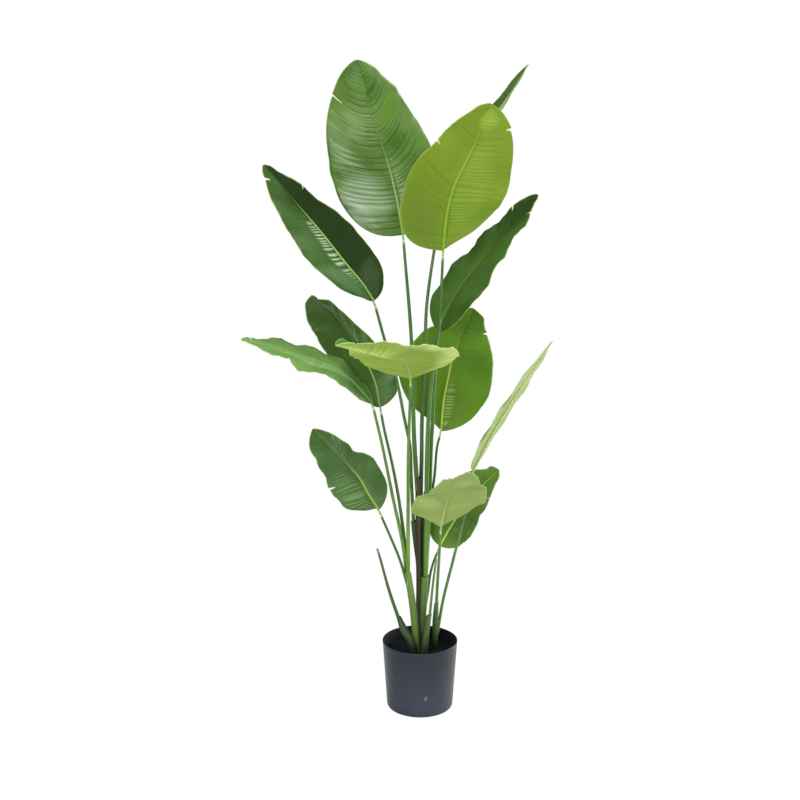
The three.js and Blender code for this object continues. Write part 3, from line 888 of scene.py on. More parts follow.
class PieceTree(Graph):
    """Geometry Nodes tree with named inputs, whose result becomes a piece."""

    def __init__(self, name: str, **kinds: str) -> None:
        """Start the tree.

        Args:
            name: The tree's name.
            kinds: The type of each input, by name.
        """
        super().__init__(bpy.data.node_groups.new(name, "GeometryNodeTree"))
        panel = self.tree.interface
        self.keys = {
            key: panel.new_socket(key, in_out="INPUT", socket_type=f"NodeSocket{kind}").identifier
            for key, kind in kinds.items()
        }
        panel.new_socket("Piece", in_out="OUTPUT", socket_type="NodeSocketGeometry")
        self.given = self.node("NodeGroupInput")

    def finish(self, piece: Wire) -> None:
        """Give the result its material and hand it out.

        Args:
            piece: The finished skin or lumps.
        """
        sockets = {"Geometry": piece, "Material": self.given.out("finish")}
        dressed = self.node("GeometryNodeSetMaterial", {}, sockets)
        self.node("NodeGroupOutput", {}, {0: dressed}, None)

    def run(self, source: bpy.types.Mesh, name: str, **values: object) -> bpy.types.Object:
        """Run the tree and keep its result as a plain mesh.

        Args:
            source: The mesh that the tree starts from.
            name: The finished piece's name.
            values: The tree's inputs.

        Returns:
            The finished piece, without a modifier.
        """
        carrier = link(f"{name}_source", source)
        modifier = carrier.modifiers.new("tree", "NODES")
        modifier.node_group = self.tree
        for key, value in values.items():
            modifier[self.keys[key]] = value
        depsgraph = bpy.context.evaluated_depsgraph_get()
        mesh = bpy.data.meshes.new_from_object(carrier.evaluated_get(depsgraph))
        carrier.modifiers.remove(modifier)
        bpy.data.objects.remove(carrier)
        bpy.data.meshes.remove(source)
        mesh.name = name
        mesh.polygons.foreach_set("use_smooth", [True] * len(mesh.polygons))
        return link(name, mesh)


class SweepTree(PieceTree):
    """Tree that sweeps a tapering round skin along a line of edges."""

    SWELLINGS = 14.0

    def __init__(self) -> None:
        """Build the tree."""
        super().__init__(
            "stalk_sweep", line="Geometry", foot_radius="Float", top_radius="Float",
            unevenness="Float", sides="Int", finish="Material",
        )
        foot, top = self.given.out("foot_radius"), self.given.out("top_radius")
        kind = {"data_type": "FLOAT"}
        along = self.node("GeometryNodeInputNamedAttribute", kind, {"Name": "along"})
        swell = self.node("ShaderNodeTexNoise", {}, {"Scale": self.SWELLINGS, "Detail": 2.0}) - 0.5
        radius = (foot + (top - foot) * along) * (1 + swell * self.given.out("unevenness"))
        curve = self.node("GeometryNodeMeshToCurve", {}, {"Mesh": self.given.out("line")})
        sockets = {"Resolution": self.given.out("sides"), "Radius": 1.0}
        circle = self.node("GeometryNodeCurvePrimitiveCircle", {}, sockets)
        turn = self.node("GeometryNodeSplineParameter")
        sockets = {"Geometry": circle, "Name": "around", "Value": turn}
        kind = {"data_type": "FLOAT", "domain": "POINT"}
        circle = self.node("GeometryNodeStoreNamedAttribute", kind, sockets)
        sockets = {"Curve": curve, "Profile Curve": circle, "Scale": radius, "Fill Caps": True}
        skin = self.node("GeometryNodeCurveToMesh", {}, sockets)
        self.finish(self.node("GeometryNodeRealizeInstances", {}, {"Geometry": skin}))


class ScatterTree(PieceTree):
    """Tree that strews small lumps over a surface."""

    CRUMBLES = 260.0
    FULL_TURN = (6.28, 6.28, 6.28)
    SPIN_SEED = 7

    def __init__(self) -> None:
        """Build the tree."""
        super().__init__(
            "soil_scatter", ground="Geometry", density="Float", least_size="Float",
            most_size="Float", lumpiness="Float", seed="Int", finish="Material",
        )
        given = self.given
        seed = given.out("seed")
        points = self.node(
            "GeometryNodeDistributePointsOnFaces", {"distribute_method": "RANDOM"},
            {"Mesh": given.out("ground"), "Density": given.out("density"), "Seed": seed},
        )
        size = self.node(
            "FunctionNodeRandomValue", {"data_type": "FLOAT"},
            {2: given.out("least_size"), 3: given.out("most_size"), "Seed": seed}, 1,
        )
        spin = self.node(
            "FunctionNodeRandomValue", {"data_type": "FLOAT_VECTOR"},
            {0: (0.0, 0.0, 0.0), 1: self.FULL_TURN, "Seed": seed + self.SPIN_SEED},
        )
        lump = self.node("GeometryNodeMeshIcoSphere", {}, {"Radius": 1.0, "Subdivisions": 2})
        sockets = {"Points": points, "Instance": lump, "Rotation": spin, "Scale": size}
        lumps = self.node("GeometryNodeInstanceOnPoints", {}, sockets)
        lumps = self.node("GeometryNodeRealizeInstances", {}, {"Geometry": lumps})
        where = self.node("GeometryNodeInputPosition")
        sockets = {"Vector": where, "Scale": self.CRUMBLES, "Detail": 1.0}
        crumble = self.node("ShaderNodeTexNoise", {}, sockets, "Color")
        centred = self.node(
            "ShaderNodeVectorMath", {"operation": "SUBTRACT"}, {0: crumble, 1: (0.5, 0.5, 0.5)}
        )
        sockets = {0: centred, "Scale": given.out("lumpiness")}
        pushed = self.node("ShaderNodeVectorMath", {"operation": "SCALE"}, sockets)
        self.finish(self.node("GeometryNodeSetPosition", {}, {"Geometry": lumps, "Offset": pushed}))


@dataclass(frozen=True)
class Tear:
    """Tear in a blade's margin, which runs in along a vein.

    Attributes:
        half: Which half.
        place: Where on the margin.
        inner: How far out from the rib it begins.
        gap: Its width at the margin, in millimetres.
        droop: What its lower side stands up there, negative for hanging.
    """

    half: Half
    place: float
    inner: float = 0.72
    gap: float = 5.0
    droop: float = 0.0


@dataclass
class Blade:
    """One leaf blade with its veins, tears, keel and plug.

    Places are shares of the rib's length. Where both halves have a value, the left half's is
    first. A bulge of the margin is its place, its height, negative inwards, and its spread.

    Attributes:
        number: The leaf's number.
        rib: Points along the rib, foot first.
        face: Directions that the upper face looks in, at the foot and at the tip.
        reach: Millimetres from the rib to the margin at the widest place.
        widest: Where that is.
        fold: Degrees that the halves stand up at the rib's foot, middle and tip.
        curl: Degrees that a half bends on its way out, negative downwards.
        wave: Height of the margin's broad waves in millimetres.
        waves: How many they are.
        phase: Where they begin, in radians.
        base: How slender the outline is below its widest place.
        tip: How slender it is above that.
        left_fold: The left half's own fold.
        tears: Tears in the margin.
        bulges: Bulges of each half's margin.
        finish: Colours and gloss.
        sweep: How far up the blade a vein runs on its way out.
        bow: How late on its way it turns up.
        pleats: How many veins there are.
        pleat: Height of the pleats between them in millimetres.
        pleat_halves: Factors on that height.
        pleat_reach: Shares of the way out between which the pleats fade.
        tip_bend: Where the tip begins to bend, and its lift in millimetres over a whole rib.
        ripple: Height of the margin's small ripples in millimetres.
    """

    number: int
    rib: list[Point]
    face: tuple[Point, Point]
    reach: Pair
    widest: Pair
    fold: Point
    curl: float
    wave: float
    waves: float
    phase: float
    base: Pair = (0.55, 0.55)
    tip: Pair = (0.74, 0.74)
    left_fold: Point | None = None
    tears: tuple[Tear, ...] = ()
    bulges: tuple[tuple[Point, ...], tuple[Point, ...]] = ((), ())
    finish: LeafFinish = field(default_factory=LeafFinish)
    sweep: float = 0.12
    bow: float = 1.5
    pleats: int = 36
    pleat: float = 0.75
    pleat_halves: Pair = (1.0, 1.0)
    pleat_reach: tuple[Pair, Pair] = ((0.35, 0.9), (0.35, 0.9))
    tip_bend: Pair = (1.0, 0.0)
    ripple: float = 1.0

    BASE_POWER = 2.2
    TIP_POWER = 1.9
    RIPPLES = 13.0
    HALF_THICKNESS = 0.45
    LEFT_WAVE_LAG = 1.7
    RIB_HALF_WIDTH = 4.0
    RIB_WIDEST_SHARE = 0.25
    KEELS = (4.0, 0.8)
    CHANNELS = (1.1, 0.35)
    PLEAT_STEPS = (0.0, 0.13, 0.3, 0.5, 0.7, 0.87)
    END_STEPS = (0.0003, 0.0009, 0.002, 0.0038)
    RIB_COLUMNS = (0.4, 0.75, 1.0)
    COLUMNS = 15
    LEAST_WIDTH = 0.05
    START_STEPS = 4001
    END_GAP = 0.006
    CROWDED = 0.3
    KEEL_POWER = 0.8
    TEAR_SPREAD = 14.0
    BESIDE = 1e-5
    FAR = 60.0
    PLUG_PLACES = (0, 0.04, 0.2, 1)
    PLUG_RADII = (2.1, 2.5, 2.5, 1.2)
    PLUG_RINGS = 17
    PLUG_SIDES = 20

    def __post_init__(self) -> None:
        """Lay the rib."""
        self.line = Course(self.rib)

    def frame(self, place: Array) -> tuple[Array, Array, Array, Array]:
        """Read the rib's point and directions.

        Args:
            place: Shares of the rib's length.

        Returns:
            The point, and the directions along, up from the upper face and to the right.
        """
        held = np.clip(place, 0, 1)
        along = self.line.heading(held)
        low, high = np.array(self.face)
        up = low + (high - low) * held[..., None]
        up = unit(up - along * np.sum(up * along, -1, keepdims=True))
        return self.line.at(held), along, up, np.cross(along, up)

    def width(self, edge: Array, half: Half) -> Array:
        """Read how far a half reaches from the rib.

        Args:
            edge: Shares of the rib's length.
            half: Which half.

        Returns:
            Millimetres from the rib to the margin.
        """
        widest = half.pick(self.widest)
        low = np.clip((widest - edge) / widest, 0, 1)
        high = np.clip((edge - widest) / (1 - widest), 0, 1)
        below = np.maximum(1 - low ** self.BASE_POWER, 0) ** half.pick(self.base)
        above = np.maximum(1 - high ** self.TIP_POWER, 0) ** half.pick(self.tip)
        width = half.pick(self.reach) * np.where(edge < widest, below, above)
        for place, height, spread in half.pick(self.bulges):
            width = width + height * np.exp(-((edge - place) / spread) ** 2)
        return np.maximum(width, self.LEAST_WIDTH)

    def vein(self, start: Array, share: Array | float) -> Array:
        """Follow veins out from where they leave the rib, to the places that they get to."""
        return start + self.sweep * np.power(share, self.bow) * np.sin(np.pi * start)

    def relief(self, start: Array, share: Array, half: Half) -> Array:
        """Read the pleats between the veins.

        Args:
            start: Where each vein leaves the rib.
            share: How far out it is read.
            half: Which half.

        Returns:
            Millimetres that the sheet stands up.
        """
        phase = self.phase_of(start)
        lag = self.number + half.pick((0.0, 2.1))
        # The pleats' strength wanders over the blade, and each pleat has its own height
        broad = np.sin(2 * np.pi * (1.7 * start + 0.6 * share) + lag)
        patchy = np.sin(2 * np.pi * (4.3 * start - 1.1 * share) + 2.3 * lag)
        strength = np.clip(0.62 + 0.38 * broad + 0.25 * patchy, 0.1, 1.2)
        chance = np.modf(np.abs(np.sin(np.floor(phase) * 12.99 + lag)) * 437.6)[0]
        arch = np.abs(np.sin(np.pi * phase)) ** 0.75 * (0.45 + 0.75 * chance)
        reach = ease(share, 0.03, 0.14) * (1 - 0.95 * ease(share, *half.pick(self.pleat_reach)))
        ends = ease(start, 0.0, 0.05) * (1 - ease(start, 0.86, 0.98))
        return self.pleat * half.pick(self.pleat_halves) * arch * strength * reach * ends

    def phase_of(self, start: Array) -> Array:
        """Count the veins up to places on the rib: a whole number at each groove."""
        slow = 0.8 * np.sin(18.85 * start + self.number)
        return start * self.pleats + slow + 0.25 * np.sin(56 * start + 2 * self.number)

    def start_of(self, phase: Array) -> Array:
        """Find the places where counted veins leave the rib."""
        start = np.linspace(0, 1, self.START_STEPS)
        return np.interp(phase, self.phase_of(start), start)

    def points(self, start: Array, share: Array, half: Half) -> Array:
        """Read the sheet.

        Args:
            start: Where each spot's vein leaves the rib.
            share: How far out each spot is.
            half: Which half.

        Returns:
            The spots.
        """
        place, edge = self.vein(start, share), self.vein(start, 1.0)
        # Each vein runs out along an arc: folded up at the rib, and curled on its way
        away = share * self.width(edge, half)
        fold = np.radians(through(half.pick((self.left_fold or self.fold, self.fold)), place))
        bend = np.radians(self.curl) * away / half.pick(self.reach)
        slope = fold + bend / 2
        chord = away * np.sinc(bend / 2 / np.pi)
        lag = half.pick((self.LEFT_WAVE_LAG, 0.0))
        # Broad waves, small ripples, pleats and the tip's bend lift the sheet
        turn = 2 * np.pi * self.waves * edge + self.phase + lag
        quick = 2 * np.pi * self.RIPPLES * edge + 3 * np.sin(7 * edge + lag) + self.number
        ends = np.sqrt(np.sin(np.pi * start))
        lift = self.wave * share ** 2 * np.sin(turn) * ends
        lift = lift + self.ripple * share ** 5 * np.sin(quick) * ends
        lift = lift + self.relief(start, share, half)
        lift = lift + self.tip_bend[1] * np.maximum(place - self.tip_bend[0], 0)
        spot, along, up, right = self.frame(place)
        spot = spot + right * (half.value * chord * np.cos(slope))[..., None]
        spot = spot + up * (chord * np.sin(slope) + lift)[..., None]
        pull, droop = self.torn(start, share, half)
        return spot + along * pull[..., None] + up * droop[..., None]

    def torn(self, start: Array, share: Array, half: Half) -> tuple[Array, Array]:
        """Read how the tears part the sheet.

        Args:
            start: Where each spot's vein leaves the rib, with its side of a tear in its last bit.
            share: How far out each spot is.
            half: Which half.

        Returns:
            Millimetres along the rib and up.
        """
        pull = np.zeros_like(start * share)
        droop = np.zeros_like(pull)
        for tear, row in self.cuts(half):
            beyond = np.clip((share - tear.inner) / (1 - tear.inner), 0, 1)
            miss = (start - row) * self.line.length
            near = np.exp(-np.abs(miss) / self.TEAR_SPREAD)
            pull = pull + np.where(miss > 0, 1.0, -1.0) * near * beyond ** 0.8 * tear.gap / 2
            droop = droop + np.where(miss < 0, 1.0, -0.35) * near * beyond * tear.droop
        return pull, droop

    def torn_reach(self, start: Array, share: Array, half: Half) -> Array:
        """Read how far each spot is from the nearest tear.

        Args:
            start: Where each spot's vein leaves the rib.
            share: How far out each spot is.
            half: Which half.

        Returns:
            Millimetres.
        """
        reach = np.full(start.shape, self.FAR)
        for tear, row in self.cuts(half):
            miss = np.abs(start - row) * self.line.length
            reach = np.where(share >= tear.inner, np.minimum(reach, miss), reach)
        return reach

    def cuts(self, half: Half) -> list[tuple[Tear, float]]:
        """Find the vein that each tear runs in along.

        Args:
            half: Which half.

        Returns:
            Each tear with where its vein leaves the rib.
        """
        grooves = self.start_of(np.arange(2, self.pleats - 1))
        edges = self.vein(grooves, 1.0)
        return [
            (tear, float(grooves[np.argmin(np.abs(edges - tear.place))]))
            for tear in self.tears if tear.half is half
        ]

    def starts(self) -> Array:
        """List where the rows of spots leave the rib.

        Returns:
            Shares of the rib's length, closer together at both ends.
        """
        counts = np.arange(-2, self.pleats + 2)[:, None] + np.array(self.PLEAT_STEPS)
        inner = self.start_of(counts.ravel())
        inner = inner[(inner > self.END_GAP) & (inner < 1 - self.END_GAP)]
        ends = np.array(self.END_STEPS)
        return np.concatenate([ends, inner, 1 - ends[::-1]])

    def shares(self, width: Array) -> Array:
        """List how far out each spot of a row is.

        Args:
            width: Millimetres from the rib to the margin, for each row.

        Returns:
            One row of shares for each width, crowded by the rib and the margin.
        """
        rib = np.minimum(self.RIB_HALF_WIDTH / width, self.RIB_WIDEST_SHARE)[:, None]
        even = np.linspace(0, 1, self.COLUMNS + 1)[1:]
        outer = even * (1 - self.CROWDED) + np.sin(even * np.pi / 2) * self.CROWDED
        return np.hstack([rib * np.array(self.RIB_COLUMNS), rib + (1 - rib) * outer])

    def sheet(self) -> tuple[Array, Array, Array, Array, Array]:
        """Lay both halves of the blade as one sheet.

        Returns:
            Spots, faces, keel depths, and the two sets of values that the finish reads.
        """
        starts = self.starts()
        rows = count = len(starts)
        blank = np.zeros(rows)
        spots = [self.line.at(starts)]
        lies = [np.stack([blank, starts, self.phase_of(starts)], 1)]
        spans = [np.stack([blank, blank + self.FAR, blank], 1)]
        keels, faces = [blank + 1], []
        for half in Half:
            shares = self.shares(self.width(self.vein(starts, 1.0), half))
            columns = shares.shape[1]
            grid = np.arange(rows * columns).reshape(rows, columns) + count
            below = np.hstack([np.arange(rows)[:, None], grid])
            above = below.copy()
            start = np.repeat(starts[:, None], columns, 1)
            sides = [(start, shares)]
            count += rows * columns
            # A torn row has its outer spots twice, once on each side of the tear
            for tear, row in self.cuts(half):
                i = int(np.argmin(np.abs(starts - row)))
                first = int(np.searchsorted(shares[i], tear.inner))
                fresh = columns - first
                above[i, first + 1:] = np.arange(fresh) + count
                count += fresh
                start[i, first:] -= self.BESIDE
                sides.append((np.full(fresh, starts[i] + self.BESIDE), shares[i, first:]))
            for place, share in sides:
                spots.append(self.points(place, share, half).reshape(-1, 3))
                flat, out = place.ravel(), share.ravel()
                wide = self.width(self.vein(flat, 1.0), half)
                lies.append(np.stack([out * half.value, flat, self.phase_of(flat)], 1))
                gap = np.minimum(wide * (1 - out), self.torn_reach(flat, out, half))
                spans.append(np.stack([out * wide, gap, 0 * gap], 1))
                rib = np.minimum(self.RIB_HALF_WIDTH, self.RIB_WIDEST_SHARE * wide)
                keels.append(np.maximum(1 - (out * wide / rib) ** 2, 0) ** self.KEEL_POWER)
            low, high = above[:-1], below[1:]
            quads = np.stack([low[:, :-1], low[:, 1:], high[:, 1:], high[:, :-1]], -1)
            faces.append(quads.reshape(-1, 4)[:, ::half.value])
        return tuple(np.concatenate(part) for part in (spots, faces, keels, lies, spans))

    def thicken(self, shell: Shell) -> None:
        """Give the sheet its two faces, its keel and its rim.

        Args:
            shell: The mesh that gets them.
        """
        spots, faces, keels, lies, spans = self.sheet()
        count = len(spots)
        corners = spots[faces]
        slants = np.cross(corners[:, 2] - corners[:, 0], corners[:, 3] - corners[:, 1])
        normals = np.zeros_like(spots)
        for corner in range(4):
            np.add.at(normals, faces[:, corner], slants)
        normals = unit(normals)
        keel, sink = [
            keels * (foot + (tip - foot) * lies[:, 1]) for foot, tip in (self.KEELS, self.CHANNELS)
        ]
        upper = spots + normals * (self.HALF_THICKNESS - sink)[:, None]
        under = spots - normals * (self.HALF_THICKNESS + keel)[:, None]
        edges = np.vstack([faces[:, [k, (k + 1) % 4]] for k in range(4)])
        ways = edges[:, 0] * count + edges[:, 1]
        back = edges[:, 1] * count + edges[:, 0]
        rim = edges[~np.isin(ways, back)]
        shell.add(np.vstack([upper, under]), faces, 0)
        shell.extend(faces[:, ::-1] + count, 1)
        shell.extend(np.hstack([rim[:, ::-1], rim + count]), 1, False)
        shell.carry(lie=np.vstack([lies, lies]), span=np.vstack([spans, spans]))

    def plug(self, shell: Shell, stalk_end: Array) -> None:
        """Run the plug from the stalk's end into the keel.

        Args:
            shell: The mesh that gets it.
            stalk_end: The stalk's last point.
        """
        foot = self.line.at(0.0)
        start = stalk_end + unit(foot - stalk_end) * FIT_GAP
        spot, _, up, _ = self.frame(np.array([PLUG_INTO_BLADE]))
        end = spot[0] - up[0] * self.KEELS[0] / 2
        share = np.linspace(0, 1, self.PLUG_RINGS)[:, None]
        centres = start * (1 - share) ** 2 + 2 * foot * share * (1 - share) + end * share ** 2
        across, deep = cross_frame(unit(np.gradient(centres, axis=0)))
        turn = ring_angles(self.PLUG_SIDES)[:, None]
        ring = across[:, None] * np.cos(turn) + deep[:, None] * np.sin(turn)
        radii = np.interp(share, self.PLUG_PLACES, self.PLUG_RADII)[:, None]
        shell.lathe(centres[:, None] + ring * radii, centres[[0, -1]], 2)
        along = np.concatenate([np.repeat(share[:, 0], self.PLUG_SIDES), [0.0, 1.0]])
        lies = np.stack([np.zeros_like(along), along, np.zeros_like(along)], 1)
        shell.carry(lie=lies, span=np.full(lies.shape, self.FAR))

    def build(self, stalk_end: Array) -> bpy.types.Object:
        """Make the blade.

        Args:
            stalk_end: The last point of the stalk that carries it.

        Returns:
            The finished piece.
        """
        shell = Shell()
        self.thicken(shell)
        self.plug(shell, stalk_end)
        name = f"blade_{self.number:02d}"
        finishes = [
            self.finish.material(f"{name}_upper", Face.UPPER),
            self.finish.material(f"{name}_under", Face.LOWER),
            self.finish.plug(f"{name}_joint"),
        ]
        return hang(shell.build(name, finishes), Slot.LEAF, f"leaf_{self.number:02d}")


@dataclass
class Stalk:
    """One leaf stalk, or one that has been cut off."""

    name: str
    node: str
    course: list[Point]
    radii: Pair
    foot: Point | None = None
    finish: StalkFinish = field(default_factory=StalkFinish)

    SIDES = 20
    STEP = 12.0
    LEAST_STEPS = 12
    LAST_STEP = 0.6
    UNEVENNESS = 0.1

    def line(self) -> Course:
        """Lay the stalk's centre line, one plug's length short of the blade's foot.

        Returns:
            The line.
        """
        points = list(self.course)
        if self.foot is not None:
            foot = np.array(self.foot, float)
            heading = unit(foot - np.array(points[-1], float))
            points.append(tuple(foot - heading * PLUG_LENGTH))
        return Course(points)

    def build(self, tree: SweepTree) -> bpy.types.Object:
        """Make the stalk.

        Args:
            tree: The Geometry Nodes tree that sweeps its skin.

        Returns:
            The finished piece.
        """
        line = self.line()
        count = max(self.LEAST_STEPS, round(line.length / self.STEP))
        ends = [1 - self.LAST_STEP / line.length, 1.0]
        along = np.concatenate([np.linspace(0, 1, count)[:-1], ends])
        mesh = bpy.data.meshes.new(f"{self.name}_line")
        edges = [(i, i + 1) for i in range(count)]
        mesh.from_pydata((line.at(along) * METRES).tolist(), edges, [])
        mesh.attributes.new("along", "FLOAT", "POINT").data.foreach_set("value", along)
        piece = tree.run(
            mesh, self.name, foot_radius=self.radii[0] * METRES, top_radius=self.radii[1] * METRES,
            unevenness=self.UNEVENNESS, sides=self.SIDES,
            finish=self.finish.material(f"{self.name}_skin"),
        )
        return hang(piece, Slot.STEM, self.node)


@dataclass
class Sheath:
    """Clasping sheath, or the trunk, as a rolled wall with an open top.

    Attributes:
        name: The piece's name.
        node: The CAD node that it replaces.
        course: Points along its middle, foot first.
        size: Half widths across and from front to back, in even steps along the course.
        finish: Its colours.
        planted: Whether its foot stands in the soil.
        wrap: What the rolled wall gains in radius once round.
        wall: How thick it is at the open top.
        cup: How deep the open top is.
        lip: How high the lip stands.
        lip_turn: Degrees to the lip's highest place.
        margin_turn: Degrees to the free margin at the foot.
        margin_twist: Degrees that the margin turns on up to the top.
        slot: Its material slot.
        columns: Spots in each ring.
    """

    name: str
    node: str
    course: list[Point]
    size: list[Pair]
    finish: SheathFinish
    planted: bool = True
    wrap: float = 0.9
    wall: float = 1.1
    cup: float = 16.0
    lip: float = 6.0
    lip_turn: float = 90.0
    margin_turn: float = 40.0
    margin_twist: float = 60.0
    slot: Slot = Slot.SHEATH
    columns: int = 56

    STEP = 5.0
    LEAST_ROWS = 10
    LIP_SPREAD = 70 / 60
    LIP_SINK = 0.35
    CUP_DEPTHS = (0.0, 0.3, 0.65, 1.0)
    CUP_ALONG = (1.0, 0.985, 0.8, 0.6)

    def profile(self, place: Array) -> tuple[Array, Array]:
        """Read the half widths along the sheath.

        Args:
            place: Shares of the sheath's length.

        Returns:
            Half widths across and from front to back.
        """
        sizes = np.array([self.size[0], *self.size] if self.planted else self.size, float)
        knots = np.linspace(0, 1, len(sizes))
        return np.interp(place, knots, sizes[:, 0]), np.interp(place, knots, sizes[:, 1])

    def build(self) -> bpy.types.Object:
        """Make the sheath.

        Returns:
            The finished piece.
        """
        points = list(self.course)
        if self.planted:
            points.insert(0, (points[0][0], points[0][1], PLANTED_Z))
        line = Course(points)
        rows = max(self.LEAST_ROWS, round(line.length / self.STEP))
        share = np.linspace(0, 1, rows)
        turn = np.linspace(0, 2 * np.pi, self.columns + 1)
        angle = np.radians(self.margin_turn + self.margin_twist * share)[:, None] + turn
        facing = np.cos(angle[-1:] - np.radians(self.lip_turn))
        rise = self.lip * np.exp((facing - 1) / self.LIP_SPREAD ** 2) - self.lip * self.LIP_SINK
        place = share[:, None] * (1 + rise / line.length * ease(share, 0.6, 1.0)[:, None])
        spots = np.vstack([self._rings(line, place, angle, turn, 0.0), *(
            self._rings(
                line, place[-1:] - self.cup * depth / line.length, angle[-1:], turn, -self.wall
            )
            for depth in self.CUP_DEPTHS
        )])
        rings = spots.reshape(-1, len(turn), 3)
        shell = Shell()
        shell.lathe(rings, rings.mean(1)[[0, -1]])
        along = np.repeat(np.concatenate([share, self.CUP_ALONG]), len(turn))
        around = np.broadcast_to(turn / (2 * np.pi), rings.shape[:2]).ravel()
        shell.carry(
            along=np.concatenate([along, [0.0, self.CUP_ALONG[-1]]]),
            around=np.concatenate([around, [0.5, 0.5]]),
        )
        piece = shell.build(self.name, [self.finish.material(f"{self.name}_skin")])
        return hang(piece, self.slot, self.node)

    def _rings(self, line: Course, place: Array, angle: Array, turn: Array, grow: float) -> Array:
        """Lay rings round the centre line.

        Args:
            line: The centre line.
            place: Share of its length for each spot.
            angle: Angle of each spot.
            turn: How far round from the margin each spot is.
            grow: What the rings are larger all round.

        Returns:
            The spots, row after row.
        """
        flat = place.ravel()
        over = np.maximum(flat - 1, 0) * line.length
        headings = line.heading(flat)
        centres = line.at(flat) + headings * over[:, None]
        across, deep = cross_frame(headings)
        half_across, half_deep = self.profile(np.clip(flat, 0, 1))
        rolled = np.broadcast_to(turn / (2 * np.pi) - 0.5, place.shape).ravel() * self.wrap + grow
        spin = np.broadcast_to(angle, place.shape).ravel()
        wide = (half_across + rolled) * np.cos(spin)
        thick = (half_deep + rolled) * np.sin(spin)
        return centres + across * wide[:, None] + deep * thick[:, None]


def turned(profile: Sequence[tuple[float, float | Array]], sides: int) -> Array:
    """Turn a profile round the pot's middle.

    Args:
        profile: Radius and height of each ring, foot first.
        sides: Spots in each ring.

    Returns:
        The spots, ring by ring.
    """
    angle = ring_angles(sides)
    return np.array([
        np.stack([radius * np.cos(angle), radius * np.sin(angle), np.broadcast_to(z, sides)], 1)
        for radius, z in profile
    ])


@dataclass
class Pot:
    """Tapered shell with a rounded foot and rim."""

    height: float = 165.0
    rim: float = 90.0
    base: float = 79.0
    wall: float = 2.4
    floor: float = 4.0
    foot_round: float = 5.0
    foot_lift: float = 1.2
    foot_ring: float = 20.0
    rim_round: float = 1.0
    sides: int = 160
    finish: PotFinish = field(default_factory=PotFinish)

    PLAIN_FROM = 4.0
    FOOT_STEPS = 8
    RIM_STEPS = 11
    LEVELS = 14
    INNER_LEVELS = 10

    def radius(self, z: float) -> float:
        """Return the outer radius at a height."""
        return self.base + (self.rim - self.base) * z / self.height

    def build(self) -> bpy.types.Object:
        """Make the pot.

        Returns:
            The finished piece.
        """
        lift, ring = self.foot_lift, self.base - self.foot_ring
        profile = [(0.0, lift), (ring - 2, lift), (ring, 0.0)]
        profile += [
            (self.base - self.foot_round * (1 - np.sin(t)), self.foot_round * (1 - np.cos(t)))
            for t in np.radians(np.linspace(0, 90, self.FOOT_STEPS))
        ]
        plain = self.PLAIN_FROM
        levels = np.linspace(self.foot_round + plain, self.height - plain, self.LEVELS)
        profile += [(self.radius(z), z) for z in levels]
        mid, top = self.wall / 2, self.height - self.rim_round
        centre = self.radius(self.height) - mid
        profile += [
            (centre + mid * np.cos(t), top + self.rim_round * np.sin(t))
            for t in np.radians(np.linspace(0, 180, self.RIM_STEPS))
        ]
        outside = len(profile) - self.RIM_STEPS // 2
        inner = np.linspace(self.height - plain, self.floor + 3, self.INNER_LEVELS)
        profile += [(self.radius(z) - self.wall, z) for z in inner]
        profile += [(self.radius(self.floor) - self.wall - 3, self.floor), (0.0, self.floor)]
        spots = turned(profile[1:-1], self.sides)
        shell = Shell()
        shell.lathe(spots, [(0, 0, lift), (0, 0, self.floor)], round_foot=False)
        inside = (np.arange(len(spots)) >= outside).astype(float)
        shell.carry(around=np.concatenate([np.repeat(inside, self.sides), [0.0, 1.0]]))
        piece = shell.build("planter", [self.finish.material("planter_satin")])
        return hang(piece, Slot.POT, "pot")


